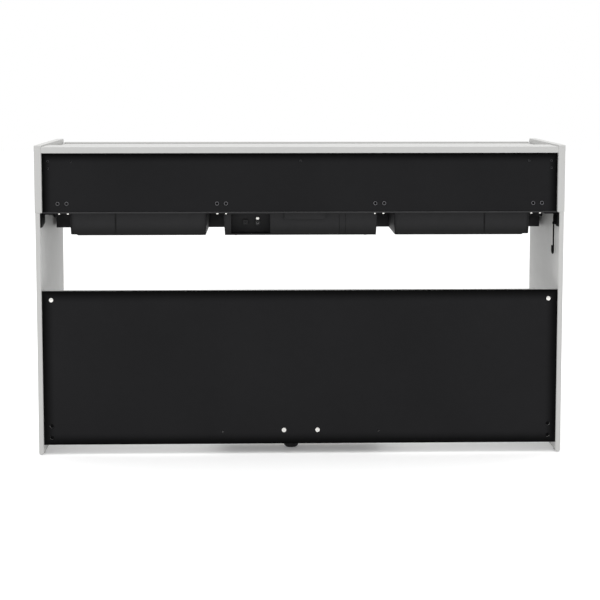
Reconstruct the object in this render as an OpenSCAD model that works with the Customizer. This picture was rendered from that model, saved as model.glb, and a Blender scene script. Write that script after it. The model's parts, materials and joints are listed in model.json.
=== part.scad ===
// Slim digital piano on a panel stand. Its keyboard front faces -Y, and its back panels face +Y.

/* [Overall] */
// Width over the two cheeks
total_w = 1370; // [1340:1:1650]
// Depth of the cheeks, front to back
total_d = 410; // [390:1:500]
// Height from the floor to the cheek tops
total_h = 810; // [795:1:980]
// Height of the legs, which is the seam below the cheeks
leg_h = 636; // [560:1:660]

/* [Boards] */
// Thickness of a cheek
cheek_t = 18; // [12:1:25]
// Rounding of a cheek's front top corner
cheek_r = 10; // [4:1:20]
// Thickness of a leg panel
leg_t = 13; // [10:1:20]
// Step from the cheek's outer face in to the leg's
leg_inset = 1; // [0:0.5:3]
// Step from the cheek's front edge back to the leg's
leg_setback = 10; // [0:1:40]
// Thickness of the fixed rear shelf
shelf_t = 16; // [12:1:22]
// Depth of the fixed rear shelf
shelf_d = 112; // [90:1:140]
// Drop from the cheek tops to the shelf
shelf_drop = 4; // [0:1:10]
// Thickness of the upper rear panel
rear_t = 12; // [6:1:18]
// Recess of the upper rear panel behind the cheek's rear edges
rear_recess = 10; // [4:1:20]
// Thickness of the keybed board
bed_t = 14; // [10:1:22]
// Thickness of the key slip below the front of the keys
slip_t = 15; // [10:1:20]
// Depth that the key slip hangs below the seam
slip_hang = 24; // [10:1:40]

/* [Lower panel and feet] */
// Thickness of the lower back panel
low_t = 15; // [12:1:20]
// Recess of the lower panel behind the legs' rear edges
low_recess = 3.5; // [3.4:0.1:8]
// Height of the lower panel's bottom edge above the floor
low_z = 27; // [20:1:40]
// Height of the lower panel itself
low_h = 406; // [330:1:500]
// Radius of a floor glide
glide_r = 5; // [3:0.5:6]
// Height of a floor glide
glide_h = 2; // [1:0.5:6]

/* [Keys] */
// Pitch of the white keys
key_pitch = 23.5; // [18.5:0.1:23.6]
// Gap between neighbouring keys
key_gap = 1; // [0.6:0.1:1.4]
// Length of a white key that shows
white_l = 150; // [140:1:155]
// Length of a black key that shows
black_l = 95; // [85:1:100]
// Width of a black key
black_w = 11; // [9:0.5:12]
// Height of a black key over the white ones
black_rise = 12; // [9:0.5:13]
// Height of the white key tops over the keybed
action_h = 94; // [80:1:100]
// Depth of a white key's moulded body
key_h = 20; // [16:1:22]
// Distance from where the keys disappear to their pivot
key_tail = 70; // [60:1:80]
// Radius of the steel rod that the keys pivot on
rod_r = 2; // [1.5:0.1:2.6]
// Radial clearance of every pivot
run_gap = 0.05; // [0.02:0.01:0.1]

/* [Lid] */
// Thickness of the lid board
lid_t = 10; // [8:1:14]
// Step from the shelf top down to the lid's upper face
lid_step = 10; // [9:1:14]
// Thickness of the lid's front rail
rail_t = 13; // [10:1:16]
// Height of the rail's lip over the lid's upper face
rail_lip = 5; // [0:1:9]
// Gap between the lid and each cheek
lid_gap = 3; // [1:0.5:5]
// Outer radius of a hinge knuckle
knuckle_r = 4; // [3:0.5:4.5]
// Radius of a hinge pin
pin_r = 1.5; // [1:0.1:2]
// Length of one hinge
hinge_l = 100; // [60:5:160]
// Width of the fold-out music ledge
ledge_w = 520; // [400:10:700]
// Depth of the music ledge
ledge_d = 25; // [18:1:27]

/* [Under-chassis] */
// Depth of the front case below the seam
case_h = 61; // [50:1:80]
// Wall of the moulded cases
case_wall = 3; // [2:0.5:4]
// Distance from the rear edge to the rear faces of the speaker boxes
box_back = 28; // [20:1:40]
// Distance from the rear edge to the front case's rear wall
case_back = 222; // [180:1:245]
// Inner end of a speaker box, from the middle
box_in = 243; // [225:1:260]
// Outer end of a speaker box, from the middle
box_out = 601; // [560:1:615]
// Half the width of the electronics box
centre_half = 201; // [185:1:210]
// Radius of a speaker's mounting flange
speaker_r = 78; // [60:1:85]

/* [Pedals] */
// Half the width of the pedal box
pbox_half = 218; // [150:1:240]
// Depth of the pedal box, front to back
pbox_d = 98; // [90:1:120]
// Height of the pedal box
pbox_h = 65; // [60:1:90]
// Spacing of the pedals
pedal_pitch = 75; // [60:1:90]
// Length of a pedal in front of the box
pedal_l = 84; // [60:1:100]
// Width of a pedal's pad
pedal_w = 26; // [20:1:34]
// Thickness of a pedal
pedal_t = 8; // [6:1:10]
// Radius of the pedal axle
axle_r = 4; // [3:0.5:6]
// Radius of the adjuster foot's knob
foot_r = 19; // [14:0.5:24]

/* [Hidden] */

// Facets of every true circle
$fn = 48;
// Space left between faces that only pass each other
slack = 0.3;
// Radial clearance of a screw in its hole
screw_gap = 0.1;
// Overshoot of a cut past the face that it goes through
over = 1;

// Outer planes of the cabinet
half_w = total_w / 2;
rear_y = total_d / 2;
front_y = -total_d / 2;
cheek_in = half_w - cheek_t;
leg_out = half_w - leg_inset;
leg_in = leg_out - leg_t;

// Rear shelf, rear panel and keybed
shelf_top = total_h - shelf_drop;
shelf_under = shelf_top - shelf_t;
shelf_front = rear_y - shelf_d;
panel_rear = rear_y - rear_recess;
panel_front = panel_rear - rear_t;
bed_drop = 2;
bed_z = leg_h - bed_drop;
bed_top = bed_z + bed_t;
lip_h = 3.5;
lip_proud = 2;
rear_panel_z = bed_z + lip_h - 0.5;

// Key slip and keys
slip_front = front_y + 2;
slip_rear = slip_front + slip_t;
key_front = slip_rear + 4;
key_top = bed_top + action_h;
slip_top = key_top - key_h;
key_edge = key_front + white_l;
black_front = key_edge - black_l;
pivot_y = key_edge + key_tail;
pivot_z = key_top - 10;
stem_w = 8;
stem_top = key_top - 2;
stem_bottom = key_top - 18;
stem_end = pivot_y + 8;
tail_end = key_edge + 12;
key_count = 88;
white_count = 52;
keys_half = white_count * key_pitch / 2;
octave = 7 * key_pitch;
black_shift = key_pitch / 24;

// Control panel over the key tails
deck_t = 3;
deck_top = key_top + 10;
deck_lip = 5;

// Lid, its rail and its hinges
lid_top = shelf_top - lid_step;
lid_z = lid_top - lid_t;
leaf_t = 1.2;
merge = leaf_t / 2;
hinge_y = shelf_front - knuckle_r - merge;
hinge_z = lid_top + knuckle_r + merge;
lid_half = cheek_in - lid_gap;
lid_front = slip_front + rail_t;
rail_z = slip_top + 4;
rail_top = lid_top + rail_lip;
leaf_l = 22;
hinge_places = [-0.72, 0, 0.72];
knuckles = 5;

// Music ledge below the lid
ledge_t = 5;
ledge_y = hinge_y - 30;
ledge_z = lid_z - slack - ledge_t / 2;
ledge_pin_r = 1.5;
ledge_pin_l = 5;
lug_w = 8;

// Cases under the keybed
case_z = leg_h - case_h;
case_rear = rear_y - case_back;
case_half = leg_in - 8;
case_flange_z = case_z + 29;
box_rear = rear_y - box_back;
speaker_x = (box_in + box_out) / 2;
speaker_y = (case_rear + box_rear) / 2;

// Lower panel
low_rear = rear_y - low_recess;
low_front = low_rear - low_t;
low_top = low_z + low_h;
corner_x = leg_in - 24;
corner_z = low_top - 24;
bolt_x = leg_in - 21;
bolt_zs = [46.5, 77];
pbox_screw_x = 44;

// Pedal box and pedals
pbox_wall = 3;
pbox_z = 30;
pbox_front = low_front - pbox_d;
pbox_top = pbox_z + pbox_h;
axle_y = low_front - 20;
axle_z = pbox_z + 28;
pedal_tip = pbox_front - pedal_l;
lever_w = 16;
slot_w = lever_w + 4;
pbox_screw_z = axle_z + 5;
foot_x = 24;
foot_y = low_front - 61;
foot_h = 18;
foot_stem_r = 4;

// Floor glides and the rounding of the legs' edges
leg_round = 2.5;
leg_foot_r = 4.5;
glide_ys = [front_y + leg_setback + 30, rear_y - 30];
glide_stem_r = 2;
glide_stem_l = 11.5;

// Brackets inside the legs: thickness, lower edge, depth and the width of the angle's upper leaf
bracket_t = 3;
bracket_z = leg_h - 38;
bracket_l = 60;
bracket_cut = 8;
angle_w = 36;
angle_step = 8;
// Width, depth and half the height of the blocks behind the panel's upper corners
corner_block = [40, 26, 16];
// Width, depth and end margin of the blocks behind the panel's bolts
bolt_block = [34, 22, 12];

// Headphone hook: wire, radius of its bend, start of the bend, and the pad on the bracket
hook_r = 2;
hook_bend = 9;
hook_low = leg_h - 104;
hook_tip = 12;
hook_y = rear_y - 34;
hook_pad_half = 12;
hook_pad_margin = 4;
hook_sink = 1;
hook_x = -(leg_in - 2 * bracket_t - hook_r + hook_sink);
hook_top = bed_z - bracket_t - 6;

// Screws and bolts through the lower panel
corner_screw_r = 2.5;
corner_head_r = 5.5;
bolt_r = 3;
bolt_head_r = 5;
bolt_head_h = 3;
bolt_hex_r = 2;
pbox_screw_r = 2.5;
pbox_head_r = 5.8;
fixing_l = low_t + 14;
pilot_r = 1.6;
pilot_deep = 8;
pilot_x = pbox_half - 14;
pilot_z = pbox_screw_z - 3;

// Inside of the pedal box: lugs for the axle, collar for the foot, bosses for the screws
pedal_xs = [-pedal_pitch, 0, pedal_pitch];
axle_lug_xs = [-1.5 * pedal_pitch, -0.5 * pedal_pitch, 0.5 * pedal_pitch, 1.5 * pedal_pitch];
lug_t = 4;
lug_front = 10;
lug_top = axle_z + 12;
axle_end = 6;
hub_wall = 3.5;
hub_side = 4;
foot_collar = 5;
foot_collar_h = 14;
foot_grip_r = 2;
foot_grip_z = 5;
foot_ribs = 18;
boss_wall = 3;
boss_l = 11;
boss_hole = 20;
slot_below = 8;
slot_above = 2;
// Distances from the pedal's tip to where its pad narrows, and to where its lever starts
pad_l = 34;
neck_l = 60;

// Return springs
coil_r = 6;
wire_r = 1;
coil_turns = 4;
coil_steps = 16;
spring_y = axle_y - 38;

// Rear screws come in pairs, where an angle bracket joins the panel to the keybed
pair_gap = 23;
pair_outer = cheek_in - 51;
pair_inner = 205;
pair_z = rear_panel_z + 22;
pair_r = 2;
pair_head_r = 4.8;
pair_head_h = 1.8;
pair_grip = 6;
pair_mid_xs = [-pair_outer, -pair_inner, pair_inner, pair_outer];
pair_xs = [for (x = pair_mid_xs, h = [-1, 1]) x + h * pair_gap / 2];
plate_t = 2.5;
plate_w = 44;
plate_h = 42;
plate_d = 34;
leaf_screw_y = rear_y - 33;
leaf_head_r = 4.6;
leaf_head_h = 4.6;
edge_screw_zs = [shelf_under - 21, shelf_under - 39];
edge_screw_x = cheek_in - 16;
top_screw_xs = [-1, 0, 1] * (cheek_in - 75);
small_head_r = 2.6;
small_head_h = 1;

// Headphone sockets below the keys
jack_xs = [-(cheek_in - 37), -(cheek_in - 67)];
jack_z = leg_h - 12;
jack_body_r = 6;
jack_bore_r = 3.3;
jack_rim = 2;
jack_rim_t = 1.5;
jack_l = 32;
jack_deep = 25;

// Slope and step of the speaker boxes, their seam and their grilles
case_nose = 40;
case_nose_z = 28;
box_draft = 4;
box_corner_r = 16;
box_step = 2.3;
box_step_x = box_out - 22;
box_step_run = 2;
box_seam = 480;
seam_w = 1.4;
seam_deep = 1;
grille_bars = 11;
grille_pitch = 11;
grille_slot = 5;
grille_rim = 8;
driver_z = case_z + case_wall + box_step;

// Electronics box: socket bay, ledge plate, ribs, slope, and relief round the keybed's screws
centre_draft = 4;
centre_corner_r = 9;
bay_a = 79;
bay_b = 181;
bay_deep = 40;
bay_floor = 4;
bay_y = box_rear - bay_deep;
plate_span = [-64, 42];
plate_drop = 19;
plate_proud = 9;
rib_xs = [-101, -117];
rib_w = 2;
rib_deep = 1.5;
relief_r = leaf_head_r + 1.2;
relief_h = leaf_head_h + 1;
dc_x = 144;
dc_half = 5.5;
dc_bore_r = 2.9;
din_x = 112;
din_r = 7;
din_bore_r = 5.2;
socket_z = leg_h - 31;
din_z = socket_z - 2;
cap_z = socket_z + 10;

// Main board: its outline, thickness, stand-offs and larger parts
board_a = [-160, case_rear + 20];
board_b = [70, case_rear + 130];
board_t = 1.6;
board_up = 10;
board_z = case_z + case_wall + board_up;
board_margin = 10;

// Key chassis, felt, and the key in the middle of the keyboard
middle_c = 39;
chassis_t = 3;
front_rail_y = key_front + 8;
front_rail_d = 14;
front_rail_top = slip_top - 16;
felt_t = 4;
felt_strip = 1.5;
lid_pad_r = 5;
lid_pad_x = cheek_in - 40;

// Controls
control_y = (key_edge + shelf_front) / 2;
power_x = keys_half - 40;
power_r = 6;
volume_x = -keys_half + 40;
knob_r = 11;
knob_h = 12;
knob_shaft_r = 3;
knob_ribs = 24;
button_xs = [-22, 22];
button_size = [20, 8];
button_up = 2;
button_down = 4;

// Hinges along the lid
hinge_xs = [for (k = hinge_places) k * lid_half];
knuckle_l = hinge_l / knuckles;
relief_gap = 0.4;
ledge_lug_r = 4;

// ---------------------------------------------------------------- helpers

// Box from corner a to corner b
module span(a, b) {
    translate(a) cube(b - a);
}

// Cylinder of radius r along X, from x = a to x = b, centred on y and z
module bar_x(a, b, y, z, r) {
    translate([a, y, z]) rotate([0, 90, 0]) cylinder(r = r, h = b - a);
}

// Cylinder of radius r along Y, from y = a to y = b, centred on x and z
module bar_y(a, b, x, z, r) {
    translate([x, b, z]) rotate([90, 0, 0]) cylinder(r = r, h = b - a);
}

// Outline drawn in Y and Z, pulled along X from x = a to x = b
module pull_x(a, b) {
    translate([a, 0, 0]) rotate([90, 0, 90]) linear_extrude(b - a) children();
}

// Outline drawn in X and Z, pulled along Y from y = a to y = b
module pull_y(a, b) {
    translate([0, b, 0]) rotate([90, 0, 0]) linear_extrude(b - a) children();
}

// Rectangle of the given size about the origin, with corners of radius r
module rounded_rect(size, r) {
    square([size[0] - 2 * r, size[1]], center = true);
    square([size[0], size[1] - 2 * r], center = true);
    for (sx = [-1, 1], sy = [-1, 1]) {
        translate([sx * (size[0] / 2 - r), sy * (size[1] / 2 - r)]) circle(r);
    }
}

// Points of an arc about c, from angle a0 to a1
function arc(c, r, a0, a1, n = 8) =
    [for (i = [0:n]) c + r * [cos(a0 + (a1 - a0) * i / n), sin(a0 + (a1 - a0) * i / n)]];

// ---------------------------------------------------------------- stand

// Leg panel on side s, which is -1 for the player's left and 1 for the right
module leg(s) {
    color("whitesmoke") difference() {
        intersection() {
            translate([s * (leg_in + leg_t / 2), leg_setback / 2, glide_h])
                linear_extrude(leg_h - glide_h)
                    rounded_rect([leg_t, total_d - leg_setback], leg_round);
            pull_y(front_y - over, rear_y + over) translate([s * (leg_in + leg_t / 2), leg_h / 2 + glide_h])
                rounded_rect([leg_t, leg_h], leg_foot_r);
        }
        for (y = glide_ys) translate([s * (leg_in + leg_t / 2), y, 0])
            cylinder(r = glide_stem_r + screw_gap, h = glide_h + glide_stem_l + slack);
    }
}

module left_leg() {
    leg(-1);
}

module right_leg() {
    leg(1);
}

// Nail-in plastic glides, two under each leg
module leg_glides() {
    color("dimgray") for (s = [-1, 1], y = glide_ys) {
        translate([s * (leg_in + leg_t / 2), y, 0]) {
            cylinder(r = glide_r, h = glide_h);
            cylinder(r = glide_stem_r, h = glide_h + glide_stem_l);
        }
    }
}

// Angle plates that tie the legs to the keybed, and corner blocks for the lower panel
module leg_brackets() {
    color("#1a1a1c") difference() {
        for (s = [-1, 1]) {
            mirror([s < 0 ? 1 : 0, 0, 0]) {
                pull_x(leg_in - bracket_t, leg_in) polygon([
                    [rear_y, bracket_z],
                    [rear_y, bed_z],
                    [rear_y - bracket_l, bed_z],
                    [rear_y - bracket_l, bracket_z + bracket_cut],
                    [rear_y - bracket_l / 3, bracket_z]
                ]);
                span([leg_in - angle_w, rear_y - bracket_l, bed_z - bracket_t],
                     [leg_in, rear_y - angle_step, bed_z]);
                span([leg_in - corner_block[0], low_front - corner_block[1], corner_z - corner_block[2]],
                     [leg_in, low_front, corner_z + corner_block[2]]);
                span([leg_in - bolt_block[0], low_front - bolt_block[1], bolt_zs[0] - bolt_block[2]],
                     [leg_in, low_front, bolt_zs[1] + bolt_block[2]]);
            }
        }
        panel_fixing_holes();
    }
}

// Wire hook for headphones, hanging from the bracket on the left leg and bent forward at its foot
module headphone_hook() {
    color("#1a1a1c") {
        span([-(leg_in - bracket_t), hook_y - hook_pad_half, bracket_z + hook_pad_margin],
             [-(leg_in - 2 * bracket_t), hook_y + hook_pad_half, bed_z - bracket_t]);
        translate([hook_x, hook_y, hook_low]) cylinder(r = hook_r, h = hook_top - hook_low);
        translate([hook_x, hook_y - hook_bend, hook_low])
            rotate([-90, 0, 0]) rotate([0, 90, 0])
                rotate_extrude(angle = 180) translate([hook_bend, 0]) circle(hook_r);
        translate([hook_x, hook_y - 2 * hook_bend, hook_low]) cylinder(r = hook_r, h = hook_tip);
    }
}

// Places of the two nickel screws and of the four black bolts, for side s
module at_corner_screws() {
    for (s = [-1, 1]) translate([s * corner_x, low_rear, corner_z]) children();
}

module at_corner_bolts() {
    for (s = [-1, 1], z = bolt_zs) translate([s * bolt_x, low_rear, z]) children();
}

// Holes for every screw and bolt that passes through the lower panel
module panel_fixing_holes() {
    at_corner_screws() rotate([90, 0, 0])
        translate([0, 0, -over]) cylinder(r = corner_screw_r + screw_gap, h = fixing_l + 2 * over);
    at_corner_bolts() rotate([90, 0, 0])
        translate([0, 0, -over]) cylinder(r = bolt_r + screw_gap, h = fixing_l + 2 * over);
}

// Board behind the pedals, black at the back and white at its edges
module lower_panel() {
    color("#28282a") difference() {
        span([-leg_in, low_front, low_z], [leg_in, low_rear, low_top]);
        panel_fixing_holes();
        at_corner_bolts() rotate([90, 0, 0])
            translate([0, 0, -over]) cylinder(r = bolt_head_r + screw_gap, h = bolt_head_h + over);
        for (s = [-1, 1]) bar_y(low_front - over, low_rear + over, s * pbox_screw_x, pbox_screw_z,
            pbox_screw_r + screw_gap);
        for (s = [-1, 1]) bar_y(low_rear - pilot_deep, low_rear + over, s * pilot_x, pilot_z, pilot_r);
    }
}

// Screw with a washer, a domed head and a hex socket, pointing along -Y from the origin
module washer_screw(shank_r, length, head_r) {
    washer_t = 1;
    dome_h = 2.4;
    dome_top = 3.2;
    rotate([90, 0, 0]) {
        difference() {
            union() {
                translate([0, 0, -washer_t]) cylinder(r = head_r, h = washer_t);
                translate([0, 0, -dome_top]) cylinder(r1 = head_r * 0.55, r2 = head_r * 0.72, h = dome_h);
            }
            translate([0, 0, -dome_top - over]) cylinder(r = head_r * 0.3, h = dome_h, $fn = 6);
        }
        cylinder(r = shank_r, h = length);
    }
}

// Nickel screws: two in the upper corners and two into the pedal box.
module lower_panel_screws() {
    color("silver") {
        at_corner_screws() washer_screw(corner_screw_r, fixing_l, corner_head_r);
        for (s = [-1, 1]) translate([s * pbox_screw_x, low_rear, pbox_screw_z])
            washer_screw(pbox_screw_r, low_t + boss_l, pbox_head_r);
    }
}

// Black bolts sunk flush into the lower corners
module lower_panel_bolts() {
    color("#101012") at_corner_bolts() rotate([90, 0, 0]) {
        difference() {
            cylinder(r = bolt_head_r, h = bolt_head_h);
            translate([0, 0, -over]) cylinder(r = bolt_hex_r, h = bolt_head_h, $fn = 6);
        }
        cylinder(r = bolt_r, h = fixing_l);
    }
}

// ---------------------------------------------------------------- pedals

// Moulded housing behind the pedals, open at its front slots
module pedal_box() {
    inner_a = [-pbox_half + pbox_wall, pbox_front + pbox_wall, pbox_z + pbox_wall];
    inner_b = [pbox_half - pbox_wall, low_front - pbox_wall, pbox_top - pbox_wall];
    color("#1a1a1c") difference() {
        union() {
            difference() {
                span([-pbox_half, pbox_front, pbox_z], [pbox_half, low_front, pbox_top]);
                span(inner_a, inner_b);
            }
            for (x = axle_lug_xs) {
                span([x - lug_t / 2, axle_y - lug_front, pbox_z + pbox_wall],
                     [x + lug_t / 2, low_front - pbox_wall, lug_top]);
            }
            translate([foot_x, foot_y, pbox_z]) cylinder(r = foot_stem_r + foot_collar, h = foot_collar_h);
            for (s = [-1, 1]) bar_y(low_front - boss_l, low_front, s * pbox_screw_x, pbox_screw_z,
                pbox_screw_r + boss_wall);
        }
        for (x = pedal_xs) {
            span([x - slot_w / 2, pbox_front - over, axle_z - pedal_t / 2 - slot_below],
                 [x + slot_w / 2, pbox_front + pbox_wall + over, axle_z + pedal_t / 2 + slot_above]);
        }
        bar_x(axle_lug_xs[0] - lug_t, axle_lug_xs[3] + lug_t, axle_y, axle_z, axle_r + run_gap);
        translate([foot_x, foot_y, pbox_z - over])
            cylinder(r = foot_stem_r + run_gap, h = foot_collar_h + 2 * over);
        for (s = [-1, 1]) bar_y(low_front - boss_hole, low_front + over, s * pbox_screw_x, pbox_screw_z,
            pbox_screw_r + screw_gap);
    }
}

// Steel rod that the three pedals turn on
module pedal_axle() {
    color("silver") bar_x(axle_lug_xs[0] - axle_end, axle_lug_xs[3] + axle_end, axle_y, axle_z, axle_r);
}

// One pedal, a lever with a rounded pad at its end and a hub round the axle
module pedal(i) {
    neck = pedal_tip + neck_l;
    pad = pedal_tip + pedal_w / 2;
    color("gold") translate([pedal_xs[i], 0, 0]) difference() {
        union() {
            translate([0, 0, axle_z - pedal_t / 2]) linear_extrude(pedal_t) {
                translate([-lever_w / 2, neck]) square([lever_w, axle_y - neck]);
                translate([0, pad]) circle(pedal_w / 2);
                polygon([
                    [-pedal_w / 2, pad],
                    [pedal_w / 2, pad],
                    [pedal_w / 2, pedal_tip + pad_l],
                    [lever_w / 2, neck],
                    [-lever_w / 2, neck],
                    [-pedal_w / 2, pedal_tip + pad_l]
                ]);
            }
            bar_x(-lever_w / 2 - hub_side, lever_w / 2 + hub_side, axle_y, axle_z, axle_r + hub_wall);
        }
        bar_x(-lever_w, lever_w, axle_y, axle_z, axle_r + run_gap);
    }
}

module pedal_left() {
    pedal(0);
}

module pedal_middle() {
    pedal(1);
}

module pedal_right() {
    pedal(2);
}

// Point of the coil's centre line at step k, for a coil of height h
function coil_at(k, h) =
    [coil_r * cos(360 * k / coil_steps), coil_r * sin(360 * k / coil_steps),
     wire_r + (h - 2 * wire_r) * k / (coil_turns * coil_steps)];

// Closed tube of wire_r round the coil's centre line
module coil_spring(h) {
    sides = 8;
    last = coil_turns * coil_steps;
    ring = [for (k = [0:last], j = [0:sides - 1])
        let (a = 360 * k / coil_steps, b = 360 * j / sides, c = coil_at(k, h), r = wire_r * cos(b))
        [c[0] + r * cos(a), c[1] + r * sin(a), c[2] + wire_r * sin(b)]];
    walls = [for (k = [0:last - 1], j = [0:sides - 1])
        [k * sides + j, k * sides + (j + 1) % sides,
         (k + 1) * sides + (j + 1) % sides, (k + 1) * sides + j]];
    start = [for (j = [sides - 1:-1:0]) j];
    end = [for (j = [0:sides - 1]) last * sides + j];
    polyhedron(points = ring, faces = concat(walls, [start], [end]), convexity = 6);
}

// Return springs between the box floor and the pedals
module pedal_springs() {
    floor_z = pbox_z + pbox_wall;
    color("silver") for (x = pedal_xs) translate([x, spring_y, floor_z])
        coil_spring(axle_z - pedal_t / 2 - floor_z);
}

// Round adjuster under the pedal box, screwed down to the floor
module pedal_foot() {
    color("#1a1a1c") translate([foot_x, foot_y, 0]) {
        difference() {
            cylinder(r = foot_r, h = foot_h);
            for (k = [0:foot_ribs - 1]) rotate([0, 0, 360 * k / foot_ribs])
                translate([foot_r + foot_grip_r / 2, 0, foot_grip_z]) cylinder(r = foot_grip_r, h = foot_h);
        }
        cylinder(r = foot_stem_r, h = pbox_z + foot_collar_h + 6);
    }
}

// ---------------------------------------------------------------- cabinet

// Cheek on side s, with its two upper corners rounded
module cheek(s) {
    back_r = 3;
    outline = concat(
        [[front_y, leg_h], [rear_y, leg_h]],
        arc([rear_y - back_r, total_h - back_r], back_r, 0, 90),
        arc([front_y + cheek_r, total_h - cheek_r], cheek_r, 90, 180)
    );
    color("whitesmoke") mirror([s < 0 ? 1 : 0, 0, 0])
        pull_x(cheek_in, half_w) polygon(outline);
}

module left_cheek() {
    cheek(-1);
}

module right_cheek() {
    cheek(1);
}

module top_shelf() {
    color("whitesmoke")
        span([-cheek_in, shelf_front, shelf_under], [cheek_in, rear_y, shelf_top]);
}

module rear_panel() {
    color("#242426") difference() {
        span([-cheek_in, panel_front, rear_panel_z], [cheek_in, panel_rear, shelf_under]);
        for (x = pair_xs) bar_y(panel_front - over, panel_rear + over, x, pair_z, pair_r + screw_gap);
    }
}

// Black pan-head screw with a dished head, pointing along -Y from the origin
module pan_screw(shank_r, length, head_r, head_h) {
    rotate([90, 0, 0]) {
        difference() {
            translate([0, 0, -head_h]) cylinder(r1 = head_r * 0.85, r2 = head_r, h = head_h);
            translate([0, 0, -head_h - over]) cylinder(r = head_r * 0.45, h = head_h * 0.6 + over);
        }
        cylinder(r = shank_r, h = length);
    }
}

// Bracket screws, and the smaller ones along the top and the sides of the panel
module rear_panel_screws() {
    color("#39393c") {
        for (x = pair_xs) translate([x, panel_rear, pair_z])
            pan_screw(pair_r, rear_t + pair_grip, pair_head_r, pair_head_h);
        for (s = [-1, 1], z = edge_screw_zs) translate([s * edge_screw_x, panel_rear, z])
            pan_head(small_head_r, small_head_h);
        for (x = top_screw_xs) translate([x, panel_rear, edge_screw_zs[0]])
            pan_head(small_head_r, small_head_h);
    }
}

// Head of a countersunk screw, standing on the panel
module pan_head(r, h) {
    rotate([90, 0, 0]) difference() {
        translate([0, 0, -h]) cylinder(r1 = r * 0.8, r2 = r, h = h);
        translate([0, 0, -h - over]) cylinder(r = r * 0.4, h = over + h / 2, $fn = 4);
    }
}

// Steel angles inside the corner, with the bright screws that come up through the keybed
module panel_brackets() {
    color("silver") {
        difference() {
            for (x = pair_mid_xs) {
                span([x - plate_w / 2, panel_front - plate_t, bed_top],
                     [x + plate_w / 2, panel_front, bed_top + plate_h]);
                span([x - plate_w / 2, panel_front - plate_d, bed_top],
                     [x + plate_w / 2, panel_front, bed_top + plate_t]);
            }
            for (x = pair_xs) {
                bar_y(panel_front - plate_t - over, panel_front + over, x, pair_z, pair_r + screw_gap);
                translate([x, leaf_screw_y, bed_top - over])
                    cylinder(r = pair_r + screw_gap, h = plate_t + 2 * over);
            }
        }
        for (x = pair_xs) translate([x, leaf_screw_y, bed_z]) {
            translate([0, 0, -leaf_head_h])
                cylinder(r1 = leaf_head_r - 1, r2 = leaf_head_r, h = leaf_head_h);
            cylinder(r = pair_r, h = bed_t + plate_t + 4);
        }
    }
}

// Board that carries the keyboard, with a thin lip under the rear panel
module keybed() {
    color("#d8d8d6") difference() {
        union() {
            span([-cheek_in, slip_rear, bed_z], [cheek_in, panel_front, bed_top]);
            span([-cheek_in, panel_front - over, bed_z], [cheek_in, panel_rear + lip_proud, rear_panel_z]);
        }
        for (x = pair_xs) translate([x, leaf_screw_y, bed_z - over])
            cylinder(r = pair_r + screw_gap, h = bed_t + 2 * over);
    }
}

module jack_holes() {
    for (x = jack_xs) bar_y(front_y - over, slip_front + jack_l, x, jack_z, jack_body_r + screw_gap);
}

// Rail that closes the cabinet below the front of the keys
module key_slip() {
    color("whitesmoke") difference() {
        span([-cheek_in, slip_front, leg_h - slip_hang], [cheek_in, slip_rear, slip_top]);
        jack_holes();
    }
}

// Blocks that fill the space between the keys and the cheeks
module end_blocks() {
    color("whitesmoke") for (s = [-1, 1]) mirror([s < 0 ? 1 : 0, 0, 0])
        span([keys_half + 2, slip_rear + 2, bed_top], [cheek_in, key_edge, deck_top]);
}

// ---------------------------------------------------------------- under-chassis

// Outline of the front case, shrunk by w for its hollow
function case_outline(w) = [
    [case_rear - w, case_z + w],
    [slip_rear + case_nose, case_z + w],
    [slip_rear + w, case_z + case_nose_z],
    [slip_rear + w, bed_z + (w > 0 ? over : 0)],
    [case_rear - w, bed_z + (w > 0 ? over : 0)]
];

// Full-width moulded case below the keys
module bottom_case() {
    color("#2b2b2d") difference() {
        union() {
            pull_x(-case_half, case_half) polygon(case_outline(0));
            span([-leg_in, slip_rear, case_flange_z], [leg_in, case_rear, bed_z]);
        }
        pull_x(-case_half + case_wall, case_half - case_wall) polygon(case_outline(case_wall));
        jack_holes();
    }
}

// Upright block from x = a to x = b whose two rear corners have radius r
module rear_rounded(a, b, y0, y1, z, r) {
    translate([0, 0, z]) linear_extrude(bed_z + over - z) {
        translate([a, y0]) square([b - a, y1 - y0 - r]);
        translate([a + r, y0]) square([b - a - 2 * r, y1 - y0]);
        for (x = [a + r, b - r]) translate([x, y1 - r]) circle(r);
    }
}

// Speaker box on side s, open upwards, with a grille of slots below its speaker
module speaker_box(s) {
    outline = [
        [box_in + box_draft, case_z],
        [box_step_x, case_z],
        [box_step_x + box_step_run, case_z + box_step],
        [box_out - box_draft, case_z + box_step],
        [box_out, bed_z],
        [box_in, bed_z]
    ];
    color("#2b2b2d") mirror([s < 0 ? 1 : 0, 0, 0]) difference() {
        intersection() {
            pull_y(case_rear, box_rear) polygon(outline);
            rear_rounded(box_in, box_out, case_rear, box_rear, case_z - over, box_corner_r);
        }
        rear_rounded(box_in + box_draft + case_wall, box_out - box_draft - case_wall,
            case_rear + case_wall, box_rear - case_wall, driver_z, box_corner_r - case_wall);
        span([box_seam, box_rear - seam_deep, case_z - over],
             [box_seam + seam_w, box_rear + over, bed_z - 4]);
        for (k = [0:grille_bars - 1]) {
            y = speaker_y + (k - (grille_bars - 1) / 2) * grille_pitch;
            half = sqrt(pow(speaker_r - grille_rim, 2) - pow(y - speaker_y, 2));
            span([speaker_x - half, y - grille_slot / 2, case_z - over],
                 [speaker_x + half, y + grille_slot / 2, driver_z + over]);
        }
    }
}

module left_speaker_box() {
    speaker_box(-1);
}

module right_speaker_box() {
    speaker_box(1);
}

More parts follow.
